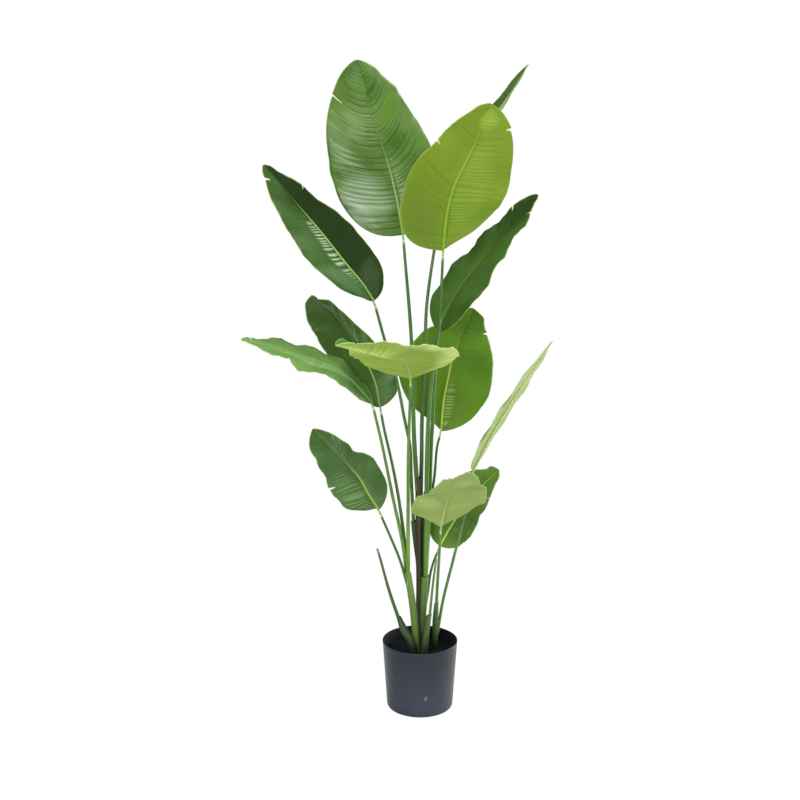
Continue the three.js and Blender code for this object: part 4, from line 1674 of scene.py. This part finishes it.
@dataclass
class Soil:
    """Soil that fills the pot, with loose crumbs on its crown."""

    top: float = 140.0
    mound: float = 5.0
    slope_share: float = 0.6
    slope_drop: float = 1.0
    low: float = 4.3
    gap: float = 0.3
    roughness: float = 1.6
    rings: int = 30
    sides: int = 120
    crumbs: float = 95000.0
    crumb_sizes: Pair = (0.0009, 0.0026)
    crumb_lumps: float = 0.0016
    finish: SoilFinish = field(default_factory=SoilFinish)
    crumb_finish: SoilFinish = field(
        default_factory=lambda: SoilFinish(dark="0a1016", light="1c262c", seed=3.0)
    )

    CHAMFER = 3.0
    MIDDLE_SHARE = 0.02
    SEED = 11

    def surface(self, radius: float, angle: Array, edge: float) -> Array:
        """Read the crown's height.

        Args:
            radius: Distance from the middle.
            angle: Angles round it.
            edge: The crown's own radius.

        Returns:
            Heights.
        """
        share = radius / edge
        level = np.interp(
            share, [0, self.slope_share, 1],
            [self.top, self.top - self.slope_drop, self.top - self.mound],
        )
        x, y = radius * np.cos(angle), radius * np.sin(angle)
        # Broad swells, and finer ones across them
        rough = np.sin(x * 0.21 + 1.3) * np.sin(y * 0.24 + 0.4)
        rough = rough + 0.6 * np.sin(x * 0.53 - y * 0.31) * np.sin(y * 0.61 + 2)
        return level + self.roughness * rough * (1 - share ** 6) - self.roughness * 0.8

    def build(self, pot: Pot, tree: ScatterTree) -> None:
        """Make the soil's body and its crumbs.

        Args:
            pot: The pot that it fills.
            tree: The Geometry Nodes tree that strews the crumbs.
        """
        gap = pot.wall + self.gap
        edge = pot.radius(self.top - self.mound) - gap
        low = pot.radius(self.low) - gap - self.CHAMFER
        angle = ring_angles(self.sides)
        rings = turned([
            (low, self.low), (low + self.CHAMFER, self.low + self.CHAMFER),
            *((r, self.surface(r, angle, edge))
              for r in edge * np.sqrt(np.linspace(1, self.MIDDLE_SHARE, self.rings))),
        ], self.sides)
        shell = Shell()
        poles = [(0, 0, self.low), (0, 0, self.top - self.roughness)]
        shell.lathe(rings, poles, round_foot=False)
        bed = shell.build("soil_bed", [self.finish.material("soil_grain")])
        log_piece(hang(bed, Slot.FILLING, "filling"))
        ground = bpy.data.meshes.new("soil_crown")
        crown = rings[3:]  # without the two rings of the wall and the crown's edge
        faces = grid_faces(len(crown), self.sides)
        ground.from_pydata((crown.reshape(-1, 3) * METRES).tolist(), [], faces.tolist())
        crumbs = tree.run(
            ground, "soil_crumbs", density=self.crumbs, least_size=self.crumb_sizes[0],
            most_size=self.crumb_sizes[1], lumpiness=self.crumb_lumps, seed=self.SEED,
            finish=self.crumb_finish.material("soil_crumb_skin"),
        )
        log_piece(hang(crumbs, Slot.FILLING))


@dataclass
class Studio:
    """White floor, soft lights and the camera, none of them part of the plant."""

    camera_at: Point = (-0.048, -2.5, 1.2)
    tilt: float = 79.8
    lens: float = 49.41
    sensor: float = 36.0
    floor_half: float = 9.0
    glare: float = 1.02
    floor_grey: str = "dedede"

    # Place, aim, size and watts of each soft box
    LAMPS = {
        "front_left_box": ((-0.95, -2.15, 1.5), (-0.1, 0, 1.15), (1.1, 0.8), 34),
        "right_box": ((2.1, 0.75, 1.0), (0, 0, 0.8), (1.4, 2.2), 46),
        "top_box": ((0.2, 0.0, 3.1), (0, 0, 0.8), (1.6, 1.2), 26),
        "low_box": ((0.2, -2.3, 0.2), (0, 0, 0.7), (1.8, 0.5), 12),
    }

    def light(self, name: str, at: Point, aim: Point, size: Pair, watts: float) -> None:
        """Hang a soft box.

        Args:
            name: The light's name.
            at: Its place in metres.
            aim: The place that it faces.
            size: Its width and height in metres.
            watts: Its power.
        """
        data = bpy.data.lights.new(name, "AREA")
        data.shape = "RECTANGLE"
        data.size, data.size_y = size
        data.energy = watts
        lamp = link(name, data)
        lamp.location = at
        heading = Vector(aim) - Vector(at)
        lamp.rotation_euler = heading.to_track_quat("-Z", "Y").to_euler()
        lamp.visible_camera = False

    def lay_floor(self) -> None:
        """Lay the white floor."""
        half = self.floor_half
        mesh = bpy.data.meshes.new("floor")
        corners = [(-half, -half, 0), (half, -half, 0), (half, half, 0), (-half, half, 0)]
        mesh.from_pydata(corners, [], [(0, 1, 2, 3)])
        paint = Paint("floor_white")
        seen = paint.node("ShaderNodeLightPath", out="Is Camera Ray")
        matt = paint.node("ShaderNodeBsdfDiffuse", {}, {"Color": srgb(self.floor_grey)})
        white = paint.whiten("ShaderNodeEmission", self.glare)
        both = paint.node("ShaderNodeMixShader", {}, {0: seen * 0.96, 1: matt, 2: white})
        paint.node("ShaderNodeOutputMaterial", {}, {"Surface": both}, None)
        mesh.materials.append(paint.material)
        link("floor", mesh)

    def light_room(self) -> None:
        """Make the world white to the camera, and dim with soft sides to the plant."""
        world = bpy.data.worlds.new("studio_white")
        world.use_nodes = True
        world.node_tree.nodes.clear()
        sky = Graph(world.node_tree)
        seen = sky.node("ShaderNodeLightPath", out="Is Camera Ray")
        side = sky.split(sky.node("ShaderNodeTexCoord", out="Generated"))
        glow = side.out("X").step(-0.2, 0.9) * 0.5 + side.out("Z").step(0.2, 1.0) * 0.4 + 0.1
        glow = glow + (1 - side.out("X").step(-1.0, -0.55)) * 0.2
        room = sky.whiten("ShaderNodeBackground", glow)
        backdrop = sky.whiten("ShaderNodeBackground", self.glare)
        both = sky.node("ShaderNodeMixShader", {}, {0: seen, 1: room, 2: backdrop})
        sky.node("ShaderNodeOutputWorld", {}, {"Surface": both}, None)
        bpy.context.scene.world = world

    def build(self) -> None:
        """Set up the floor, the world, the lights and the camera."""
        self.lay_floor()
        self.light_room()
        for name, lamp in self.LAMPS.items():
            self.light(name, *lamp)
        data = bpy.data.cameras.new("camera")
        data.lens = self.lens
        data.sensor_width = self.sensor
        camera = link("camera", data)
        camera.location = self.camera_at
        camera.rotation_euler = (np.radians(self.tilt), 0, 0)
        scene = bpy.context.scene
        scene.camera = camera
        scene.view_settings.view_transform = "Standard"


LEFT, RIGHT = Half.LEFT, Half.RIGHT
LOWER = Face.LOWER
BLADES = [
    Blade(
        1, rib=[(-41, 40, 1127), (-57, 55, 1214), (-78, 75, 1296), (-106, 100, 1378),
             (-150, 150, 1526)],
        face=((-0.1, -1, 0.2), (0.1, -1, 0.3)), reach=(130, 108), widest=(0.41, 0.34),
        base=(0.38, 0.5), tip=(0.68, 0.68), fold=(12, 10, 8), curl=-22, wave=4, waves=3, phase=0,
        sweep=0.19, bow=2.0, pleats=34, pleat=2.1, pleat_halves=(1.0, 0.5),
        pleat_reach=((0.6, 1.0), (0.45, 1.0)),
        tears=(Tear(LEFT, 0.85, 0.76, 5),),
        bulges=(
            ((0.27, 5, 0.12), (0.44, 4, 0.06), (0.12, 2, 0.08), (0.93, 2, 0.04)),
            ((0.68, -3, 0.14), (0.48, -2, 0.05), (0.8, 4, 0.04), (0.94, 4, 0.04)),
        ),
        finish=LeafFinish(
            light="68893f", dark="3a5f15", under="9bb552", rib="86a860", gloss=0.36, shine=0.34,
            rib_fade=(0.2, 0.6), lines=0.7, halves=(1.0, 1.14),
            painted_light_and_tints=(PaintedLightAndTint(-0.45, 0.2, 0.5, 0.15, "a9c09e", 0.45, 0.5),
                     PaintedLightAndTint(-0.85, 0.46, 0.3, 0.14, "7a9662", 0.4),
                     PaintedLightAndTint(-0.9, 0.3, 0.35, 0.04, "3c6610", 0.7),
                     PaintedLightAndTint(0.6, 0.62, 0.4, 0.08, "4a7a10", 0.6),
                     PaintedLightAndTint(-0.3, 0.85, 0.5, 0.12, "5d8432", 0.5),
                     PaintedLightAndTint(0.3, 0.12, 0.3, 0.08, "1f4208", 0.6)),
        ),
    ),
    Blade(
        2, rib=[(48, -40, 1094), (55, -60, 1175), (69, -85, 1235), (92, -115, 1285),
             (112, -140, 1330), (136, -185, 1402)],
        face=((0, 1, 0.3), (0.1, 1, 0.5)), reach=(107, 105), widest=(0.46, 0.3), base=(0.85, 0.3),
        tip=(0.6, 0.85), fold=(8, 6, 5), curl=-20, wave=5, waves=3, phase=1, pleats=36, pleat=1.0,
        pleat_halves=(1.0, 0.8), pleat_reach=((0.4, 0.95), (0.3, 0.6)), tip_bend=(0.9, -60),
        tears=(Tear(LEFT, 0.86, 0.84, 6), Tear(RIGHT, 0.66, 0.88, 4)),
        bulges=(
            ((0.05, -9, 0.06), (0.38, 3, 0.1), (0.54, 4, 0.07), (0.75, -2, 0.1)),
            ((0.84, 5, 0.08), (0.65, -5, 0.07), (0.96, 4, 0.03)),
        ),
        finish=LeafFinish(
            light="5d8f35", dark="3c6c24", under="84a026", under_dark="6c8a1a", rib_under="86a82c",
            margin="a3bd5a", gloss=0.42, seed=2, halves=(0.98, 0.88), rib_fade=(0.6, 0.85),
            lines=0.25,
            painted_light_and_tints=(PaintedLightAndTint(-0.3, 0.45, 0.5, 0.4, "93b040", 0.35, 0.6, LOWER),
                     PaintedLightAndTint(-0.2, 0.9, 0.6, 0.1, "a4bb4c", 0.5, 0.3, LOWER),
                     PaintedLightAndTint(0.6, 0.15, 0.6, 0.2, "5f7c14", 0.5, 0.0, LOWER)),
        ),
    ),
    Blade(
        3, rib=[(54, 100, 1228), (107, 140, 1325), (187, 170, 1422), (257, 200, 1523)],
        face=((-0.78, -0.2, 0.57), (-0.78, -0.15, 0.57)), reach=(78, 78), widest=(0.4, 0.4),
        fold=(15, 12, 10), curl=-15, wave=1.5, waves=4, phase=2, pleats=24, pleat=0.1, ripple=0.3,
        finish=LeafFinish(
            light="4c6c24", dark="34521a", under="a3c06a", margin="a9c47c", lines=0.05, fine=0.2,
            shine=0.15, seed=3,
            painted_light_and_tints=(PaintedLightAndTint(0.75, 0.5, 0.4, 0.6, "a9c07a", 0.8),),
        ),
    ),
    Blade(
        4, rib=[(-107, -20, 981), (-132, -12, 1019), (-168, 0, 1061), (-216, 12, 1121),
             (-256, 20, 1168), (-355, 20, 1283)],
        face=((0.25, -0.9, 0.35), (0.25, -0.9, 0.35)), reach=(85, 65), widest=(0.42, 0.22),
        base=(0.55, 0.45), tip=(0.8, 0.8), fold=(36, 30, 23), curl=-14, wave=5, waves=4, phase=0.5,
        pleats=38, pleat=0.9, pleat_halves=(1.3, 0.5), pleat_reach=((0.12, 0.5), (0.3, 0.8)),
        tears=(Tear(LEFT, 0.93, 0.5, 6, -4), Tear(RIGHT, 0.76, 0.86, 4)),
        bulges=(
            ((0.04, -7, 0.03), (0.16, 4, 0.07), (0.44, 4, 0.05), (0.59, -4, 0.06), (0.97, 4, 0.03)),
            ((0.06, -6, 0.06), (0.42, 5, 0.06), (0.66, -3, 0.1), (0.97, 3, 0.03)),
        ),
        finish=LeafFinish(
            light="46692f", dark="2c4a18", rib="9dbb60", gloss=0.38, halves=(1.0, 0.42),
            dull=(0.0, 0.35), shine=0.14, lines=0.2, rib_fade=(0.5, 0.8), seed=4,
            painted_light_and_tints=(PaintedLightAndTint(-0.17, 0.36, 0.22, 0.3, "bcd4b0", 0.55, 1.0),
                     PaintedLightAndTint(0.55, 0.5, 0.7, 0.7, "2c4c08", 0.8),
                     PaintedLightAndTint(0.35, 0.08, 0.6, 0.14, "7d9a66", 0.4, 0.15),
                     PaintedLightAndTint(-0.5, 0.15, 0.5, 0.15, "6d9a62", 0.4)),
        ),
    ),
    Blade(
        5, rib=[(40, 38, 906), (60, 48, 952), (94, 60, 1009), (138, 75, 1063), (187, 90, 1122),
             (274, 110, 1218)],
        face=((-0.6, -0.6, 0.4), (-0.7, -0.5, 0.4)), reach=(57, 81), widest=(0.26, 0.32),
        base=(0.75, 0.34), tip=(0.52, 0.72), fold=(20, 16, 13), curl=-12, wave=6, waves=4,
        phase=2.5, pleat=0.35,
        tears=(Tear(LEFT, 0.87, 0.7, 5), Tear(RIGHT, 0.88, 0.75, 5)),
        bulges=(
            ((0.49, -2, 0.1), (0.68, -6, 0.07), (0.81, 2, 0.05), (0.97, 4, 0.03)),
            ((0.25, 12, 0.1), (0.39, 6, 0.06), (0.62, -8, 0.06), (0.77, 6, 0.06), (0.88, -3, 0.04),
             (0.97, 5, 0.03)),
        ),
        finish=LeafFinish(
            light="486c24", dark="305315", under="8fab52", rib="5a8038", gloss=0.42,
            rib_fade=(0.3, 0.7), dull=(0.1, 0.1), shine=0.22, lines=0.08, seed=5,
            painted_light_and_tints=(PaintedLightAndTint(0.0, 0.92, 1.3, 0.3, "233f0c", 0.75),),
        ),
    ),
    Blade(
        6, rib=[(-95, 50, 724), (-109, 62, 789), (-166, 85, 889), (-207, 100, 940),
             (-260, 115, 981)],
        face=((-0.3, -0.9, 0.5), (0.1, -0.9, 0.5)), reach=(75, 50), widest=(0.72, 0.16),
        tip=(0.38, 1.25), fold=(24, 20, 16), curl=-12, wave=5, waves=4, phase=0, pleats=32,
        pleat=0.4,
        tears=(Tear(RIGHT, 0.95, 0.55, 6),),
        bulges=(
            ((0.72, -3, 0.05), (0.84, -4, 0.08), (0.95, -6, 0.04)),
            ((0.1, 7, 0.06), (0.26, 6, 0.07), (0.6, -4, 0.08), (0.88, 9, 0.06), (0.98, 4, 0.03)),
        ),
        finish=LeafFinish(
            light="416221", dark="2b4714", rib="7fa353", gloss=0.4, rib_fade=(0.25, 0.5),
            shine=0.22, lines=0.2, seed=6,
            painted_light_and_tints=(PaintedLightAndTint(0.0, 0.85, 1.3, 0.3, "26430d", 0.7),
                     PaintedLightAndTint(0.3, 0.06, 0.9, 0.2, "7d9e6c", 0.3, 0.15)),
        ),
    ),
    Blade(
        7, rib=[(-112, -10, 745), (-140, -20, 779), (-184, -38, 824), (-250, -55, 853),
             (-320, -70, 880), (-400, -85, 900)],
        face=((0.5, -0.3, 0.8), (0, -0.32, 0.94)), reach=(47, 80), widest=(0.42, 0.42),
        tip=(0.74, 0.85), fold=(4, 4, 3), curl=-24, wave=5, waves=4, phase=1, pleats=30, pleat=0.6,
        pleat_reach=((0.15, 0.5), (0.2, 0.6)),
        tears=(Tear(LEFT, 0.7, 0.6, 6, 3), Tear(RIGHT, 0.95, 0.5, 6)),
        bulges=(
            ((0.2, 6, 0.08), (0.36, -6, 0.06), (0.62, 9, 0.05), (0.86, -4, 0.05)),
            ((0.6, -4, 0.06), (0.8, -8, 0.08), (0.95, 8, 0.05)),
        ),
        finish=LeafFinish(
            light="739d46", dark="568130", under="a9c780", rib="80af58", margin="b7d096",
            gloss=0.42, lines=0.2, seed=7,
            painted_light_and_tints=(PaintedLightAndTint(0.0, 0.08, 1.3, 0.34, "2f5a16", 0.9),
                     PaintedLightAndTint(-0.2, 0.5, 0.35, 0.35, "a3c985", 0.5, 0.3),
                     PaintedLightAndTint(0.0, 0.95, 1.3, 0.3, "86b25a", 0.5)),
        ),
    ),
    Blade(
        8, rib=[(-24, -70, 811), (-31, -130, 848), (-42, -195, 872), (-82, -270, 888),
             (-175, -345, 922)],
        face=((0.1, 0.6, 0.8), (0, 0.2, 1)), reach=(116, 112), widest=(0.32, 0.4),
        base=(0.55, 0.36), fold=(11, 16, 42), left_fold=(24, 16, 17), curl=-16, wave=3, waves=5,
        phase=0, pleats=34, pleat=0.8,
        tears=(Tear(LEFT, 0.93, 0.6, 5),),
        finish=LeafFinish(
            light="4f8c4c", dark="366f38", under="a4be49", under_dark="88a43a", rib_under="9db855",
            margin="cfe094", gloss=0.4, lines=0.5, seed=8,
            painted_light_and_tints=(PaintedLightAndTint(-0.95, 0.3, 0.5, 0.4, "dff294", 0.8, 0.2, LOWER),
                     PaintedLightAndTint(0.6, 0.8, 1.3, 0.4, "d6ea90", 0.6, 0.3, LOWER),
                     PaintedLightAndTint(-0.5, 0.4, 0.3, 0.3, "86ac30", 0.5, 0.4, LOWER)),
        ),
    ),
    Blade(
        9, rib=[(50, 66, 663), (57, 84, 735), (67, 98, 784), (76, 112, 823), (91, 126, 862),
             (129, 168, 947)],
        face=((0.1, -0.95, 0.3), (0.2, -0.95, 0.3)), reach=(118, 107), widest=(0.42, 0.45),
        base=(1.1, 0.62), tip=(1, 0.74), fold=(12, 10, 8), curl=-16, wave=4, waves=3, phase=2,
        pleats=32, pleat=1.0, pleat_halves=(0.4, 1.1), pleat_reach=((0.2, 0.6), (0.2, 0.65)),
        tears=(Tear(RIGHT, 0.86, 0.84, 6),),
        bulges=(
            ((0.07, -8, 0.05), (0.42, 6, 0.12), (0.6, -6, 0.06), (0.8, -14, 0.1), (0.98, 4, 0.03)),
            ((0.1, 5, 0.09), (0.88, -3, 0.04), (0.96, 9, 0.03)),
        ),
        finish=LeafFinish(
            light="66911c", dark="4d7814", under="93b03e", rib="c8d84a", gloss=0.42,
            rib_fade=(0.45, 0.75), lines=0.12, seed=9,
            painted_light_and_tints=(PaintedLightAndTint(0.12, 0.18, 0.15, 0.27, "93b850", 0.6, 0.95),),
        ),
    ),
    Blade(
        10, rib=[(122, -20, 589), (166, -50, 690), (215, -80, 783), (285, -120, 903)],
        face=((-0.82, 0.4, 0.5), (-0.82, 0.35, 0.5)), reach=(61, 61), widest=(0.55, 0.55),
        fold=(10, 8, 6), curl=-16, wave=2, waves=4, phase=1, pleats=24, pleat=0.0, ripple=0.3,
        finish=LeafFinish(
            light="76a050", dark="5d8a3c", under="aabd78", under_dark="99ae66", rib_under="bfd595",
            margin="c8dba4", gloss=0.46, lines=0.0, fine=0.0, seed=10,
            painted_light_and_tints=(PaintedLightAndTint(0.95, 0.26, 0.5, 0.09, "5f7a30", 1.0, 0.0, LOWER),
                     PaintedLightAndTint(0.95, 0.54, 0.6, 0.15, "5f7a30", 1.0, 0.0, LOWER)),
        ),
    ),
    Blade(
        11, rib=[(-97, -40, 498), (-121, -42, 537), (-142, -42, 575), (-170, -42, 608),
             (-202, -42, 641), (-247, -42, 691)],
        face=((0.3, -0.9, 0.3), (0.2, -0.9, 0.35)), reach=(73, 54), widest=(0.42, 0.26),
        base=(0.95, 0.7), tip=(0.64, 0.75), fold=(14, 12, 9), curl=-20, wave=4, waves=3, phase=0,
        pleats=28, pleat=0.8, pleat_reach=((0.45, 0.95), (0.3, 0.7)),
        tears=(Tear(LEFT, 0.5, 0.8, 5),),
        bulges=(
            ((0.03, -8, 0.03), (0.2, 9, 0.07), (0.36, 2, 0.08), (0.62, -9, 0.1), (0.78, -8, 0.06),
             (0.93, 3, 0.05)),
            ((0.42, 3, 0.04), (0.58, -12, 0.06), (0.72, -5, 0.08)),
        ),
        finish=LeafFinish(
            light="4e7238", dark="365526", rib="8fb23e", gloss=0.38, rib_fade=(0.3, 0.6), lines=0.2,
            seed=11,
            painted_light_and_tints=(PaintedLightAndTint(-0.5, 0.25, 0.5, 0.3, "8aab70", 0.28, 0.8),),
        ),
    ),
    Blade(
        12, rib=[(45, -90, 472), (49, -110, 502), (52, -145, 535), (58, -185, 567), (67, -230, 603),
             (88, -300, 653)],
        face=((0, 0.9, 0.5), (0, 0.5, 0.8)), reach=(81, 74), widest=(0.5, 0.22), base=(1.15, 0.28),
        tip=(0.74, 1.2), fold=(8, 6, 5), curl=-12, wave=5, waves=3, phase=0, pleats=28, pleat=0.7,
        bulges=(
            ((0.82, -6, 0.06),),
            ((0.03, -36, 0.06), (0.52, -12, 0.08), (0.68, -8, 0.06), (0.8, -6, 0.06)),
        ),
        finish=LeafFinish(
            light="6c9a4a", dark="528038", under="95aa5a", under_dark="839a4b", rib_under="9fb47c",
            margin="b5cc88", gloss=0.44, rib_fade=(0.2, 0.5), lines=0.08, fine=0.5, seed=12,
            painted_light_and_tints=(PaintedLightAndTint(0.6, 0.3, 0.5, 0.14, "a8bb6c", 0.6, 0.0, LOWER),
                     PaintedLightAndTint(-0.5, 0.3, 0.5, 0.1, "9ebb52", 0.6, 0.3, LOWER),
                     PaintedLightAndTint(-0.3, 0.75, 0.6, 0.1, "a9b95a", 0.6, 0.0, LOWER),
                     PaintedLightAndTint(0.1, 0.1, 0.5, 0.12, "8a9c54", 0.5, 0.3, LOWER)),
        ),
    ),
    Blade(
        13, rib=[(48, 30, 389), (72, 45, 429), (102, 60, 470), (141, 80, 514), (192, 100, 560)],
        face=((-0.2, -0.95, 0.3), (-0.2, -0.95, 0.4)), reach=(62, 53), widest=(0.45, 0.3),
        base=(0.45, 0.45), tip=(0.6, 0.85), fold=(14, 12, 9), curl=-14, wave=4, waves=3, phase=0,
        pleats=26, pleat=0.5,
        tears=(Tear(RIGHT, 0.7, 0.9, 2.5),),
        bulges=(
            ((0.62, 5, 0.08), (0.9, -7, 0.05), (0.97, 4, 0.03)),
            ((0.07, 3, 0.04), (0.2, 2, 0.08), (0.49, -5, 0.06), (0.95, 5, 0.05)),
        ),
        finish=LeafFinish(
            light="608828", dark="476d1b", rib="a8c85a", gloss=0.42, lines=0.1, seed=13,
            painted_light_and_tints=(PaintedLightAndTint(0.5, 0.3, 0.6, 0.3, "3f6418", 0.5),),
        ),
    ),
]

# Each leaf's stalk: its course below the blade, radii at foot and top, and colours there
STALKS: dict[int, tuple[list[Point], Pair, str, str]] = {
    1: ([(-7, -6, 537), (-14, 6, 638), (-17, 14, 720), (-21, 26, 877)],
        (5.8, 3.1), "4e7a28", "3d6c23"),
    2: ([(15, -9, 497), (15, -14, 608), (18, -20, 714), (26, -28, 817), (41, -33, 935)],
        (6, 3), "548228", "417024"),
    3: ([(1, 7, 537), (3, 18, 610), (4, 38, 702), (11, 66, 872), (16, 80, 974)],
        (5, 3.1), "2e521e", "437a2b"),
    4: ([(-14.5, 10, 425), (-21.5, 12, 560), (-25, 10, 640), (-38, -8, 709), (-57, -26, 809),
         (-82, -28, 891)],
        (4.2, 3.1), "4b7622", "416a20"),
    5: ([(21, 4, 497), (25, 12, 637), (29, 18, 706), (34, 27, 809)],
        (5.4, 3.1), "528027", "4e8227"),
    6: ([(-30, 0, 310), (-35, 5, 387), (-51, 16, 510), (-66, 26, 590), (-86, 38, 677)],
        (4.4, 3.1), "517a25", "3d641d"),
    7: ([(-32, -8, 310), (-36, -10, 367), (-46, -11, 432), (-62, -12, 507), (-90, -12, 649)],
        (4.4, 3.1), "709a2d", "517a23"),
    8: ([(-29, -30, 310), (-29, -42, 509), (-29, -50, 620), (-26, -55, 737)],
        (5, 2.9), "719a34", "4e8025"),
    9: ([(22, 16, 497), (33, 26, 556), (40, 46, 628)],
        (3.4, 2.8), "416e25", "407427"),
    10: ([(42, -1, 182), (55, -4, 266), (78, -8, 367), (104, -15, 484)],
         (3.8, 2.9), "4e7a25", "639134"),
    11: ([(-32, -19, 314), (-48, -28, 373)],
         (3.4, 2.8), "467022", "3d6023"),
    12: ([(37.5, -15, 232), (38.5, -22, 262), (40, -45, 325), (42, -70, 387)],
         (3.8, 3), "4b7522", "54802e"),
    13: ([(12, 32, 95), (13, 32, 225), (19, 31, 270), (25, 31, 318), (33, 30, 350)],
         (3.8, 2.8), "548028", "436c23"),
}
CUT_STALKS = [
    Stalk(
        "cut_stalk_left", "stub_left",
        [(-41, -38, 208), (-52, -36, 235), (-74, -38, 303), (-94, -40, 380), (-101, -42, 405)],
        (4.6, 2.5),
        finish=StalkFinish(foot="395c20", top="436025", tip="85806a", tip_share=0.09, seed=14),
    ),
    Stalk(
        "cut_stalk_right", "stub_right", [(20, -29, 205), (29, -18, 300), (38, -10, 371)],
        (3.3, 2.4),
        finish=StalkFinish(foot="527a25", top="5f7a2b", tip="8f8262", tip_share=0.14, seed=15),
    ),
]
SHEATHS = [
    Sheath(
        "heart", "trunk_core",
        [(-3, 0, 140), (-3, 0, 221), (-3, 0, 314), (-4, 0, 438), (-3, 0, 565)],
        [(8, 9), (6.6, 9), (6.4, 9), (8, 11), (9.5, 12.5)],
        SheathFinish(foot="0e1408", middle="2e2f15", top="4a4622", margin="3a2e1e", fibre="2a2216",
                     fibre_mix=0.7, rough=0.62, fibre_depth=0.0012, foot_shade_rise=130, seed=1),
        slot=Slot.TRUNK, lip=9, lip_turn=180,
    ),
    Sheath(
        "clasp_dark", "trunk_sheath_dark",
        [(-4, 16, 140), (-1, 15, 300), (-2, 13, 355), (-11.5, 10, 425), (-15.5, 10, 456)],
        [(7, 6), (6.5, 7), (8.5, 8), (9, 8), (7, 7.5)],
        SheathFinish(foot="12200c", middle="22401a", top="2a5220", fibre="1a3012", seed=2), lip=4,
    ),
    Sheath(
        "clasp_lower", "trunk_sheath_lower",
        [(5, 1, 140), (5, 1, 213), (7.5, 2, 263), (10.5, 3, 324)],
        [(9.5, 13), (9.5, 13.5), (9.8, 14), (10.5, 15)],
        SheathFinish(foot="14260e", middle="496c21", top="587e29", margin="4a6429", papery=0.3,
                     seed=3),
        lip=3, cup=8, margin_turn=150, margin_twist=20,
    ),
    Sheath(
        "clasp_upper", "trunk_sheath_upper",
        [(11, 4, 292), (12, 4, 362), (14, 4, 436), (19, 3.5, 526)],
        [(7, 11), (8.5, 12.5), (10.5, 15.5), (11.5, 18.5)],
        SheathFinish(foot="54802f", middle="5b8630", top="467027", papery=0.15,
                     flank="20400f", flank_shade_fade=(6.0, 12.0), seed=4),
        planted=False, lip=5, margin_turn=200, margin_twist=-30,
    ),
    Sheath(
        "clasp_left", "sheath_left",
        [(-8, -24, 140), (-14, -25, 224), (-19.5, -24, 273), (-30, -15, 338)],
        [(8.5, 9), (8.5, 10), (8.5, 12), (8, 20)],
        SheathFinish(foot="172a0e", middle="5c7a28", top="5f842e", margin="7a6650",
                     margin_share=0.05, seed=5),
        lip=8, lip_turn=200, margin_turn=-60, margin_twist=50,
    ),
    Sheath(
        "clasp_stub", "sheath_stub",
        [(-16, -41, 140), (-24, -41, 180), (-39, -38, 206), (-51, -36, 236)],
        [(7, 5), (9, 5.5), (10, 6), (5.5, 5.5)],
        SheathFinish(foot="0f1a0c", middle="29461a", top="2a4c20", margin="2b2218",
                     margin_share=0.14, papery=0.9, seed=6),
        lip=8, lip_turn=180, cup=6, margin_turn=-40, margin_twist=0,
    ),
    Sheath(
        "bract", "sheath_bract",
        [(0, -15, 140), (-5, -14, 222), (-9, -13, 272)],
        [(6, 3), (4, 2.5), (1.2, 1.2)],
        SheathFinish(foot="12140a", middle="2c2e16", top="443f24", margin="4c402a", seed=7),
        slot=Slot.TRUNK, wrap=0.3, wall=0.4, cup=1, lip=1, columns=28,
    ),
    Sheath(
        "clasp_right", "sheath_right",
        [(8, -40, 140), (10, -38, 165), (14, -33, 195), (20, -25, 234)],
        [(9, 6), (9, 6.5), (7.5, 8), (6.5, 11.5)],
        SheathFinish(foot="14240e", middle="34511c", top="436429", margin="7c8a5e", seed=8),
        lip=8, lip_turn=0, margin_turn=150, margin_twist=-40,
    ),
    Sheath(
        "clasp_far_right", "sheath_far_right",
        [(35, 0, 140), (36, -5, 177), (37, -12, 222), (38.5, -20, 262)],
        [(6, 8), (7.5, 10), (7, 9), (5.2, 5.5)],
        SheathFinish(foot="171f0e", middle="35491d", top="43682c", margin="5a4c2c", papery=0.3,
                     seed=9),
        lip=6, lip_turn=20, margin_turn=230,
    ),
]


def log_piece(piece: bpy.types.Object) -> None:
    """Report a finished piece."""
    logging.info("%s: %d faces", piece.name, len(piece.data.polygons))


def main() -> None:
    """Build every class in order and report each piece."""
    Studio().build()
    pot = Pot()
    log_piece(pot.build())
    Soil().build(pot, ScatterTree())
    for sheath in SHEATHS:
        log_piece(sheath.build())
    sweep = SweepTree()
    feet = {blade.number: blade.rib[0] for blade in BLADES}
    ends = {}
    for number, (course, radii, foot, top) in STALKS.items():
        finish = StalkFinish(foot=foot, top=top, seed=number)
        name, node = f"stalk_{number:02d}", f"stem_{number:02d}"
        stalk = Stalk(name, node, course, radii, feet[number], finish)
        ends[number] = stalk.line().at(1.0)
        log_piece(stalk.build(sweep))
    for stalk in CUT_STALKS:
        log_piece(stalk.build(sweep))
    for blade in BLADES:
        log_piece(blade.build(ends[blade.number]))


if __name__ == "__main__":
    logging.basicConfig(level=logging.INFO, format="%(message)s")
    main()
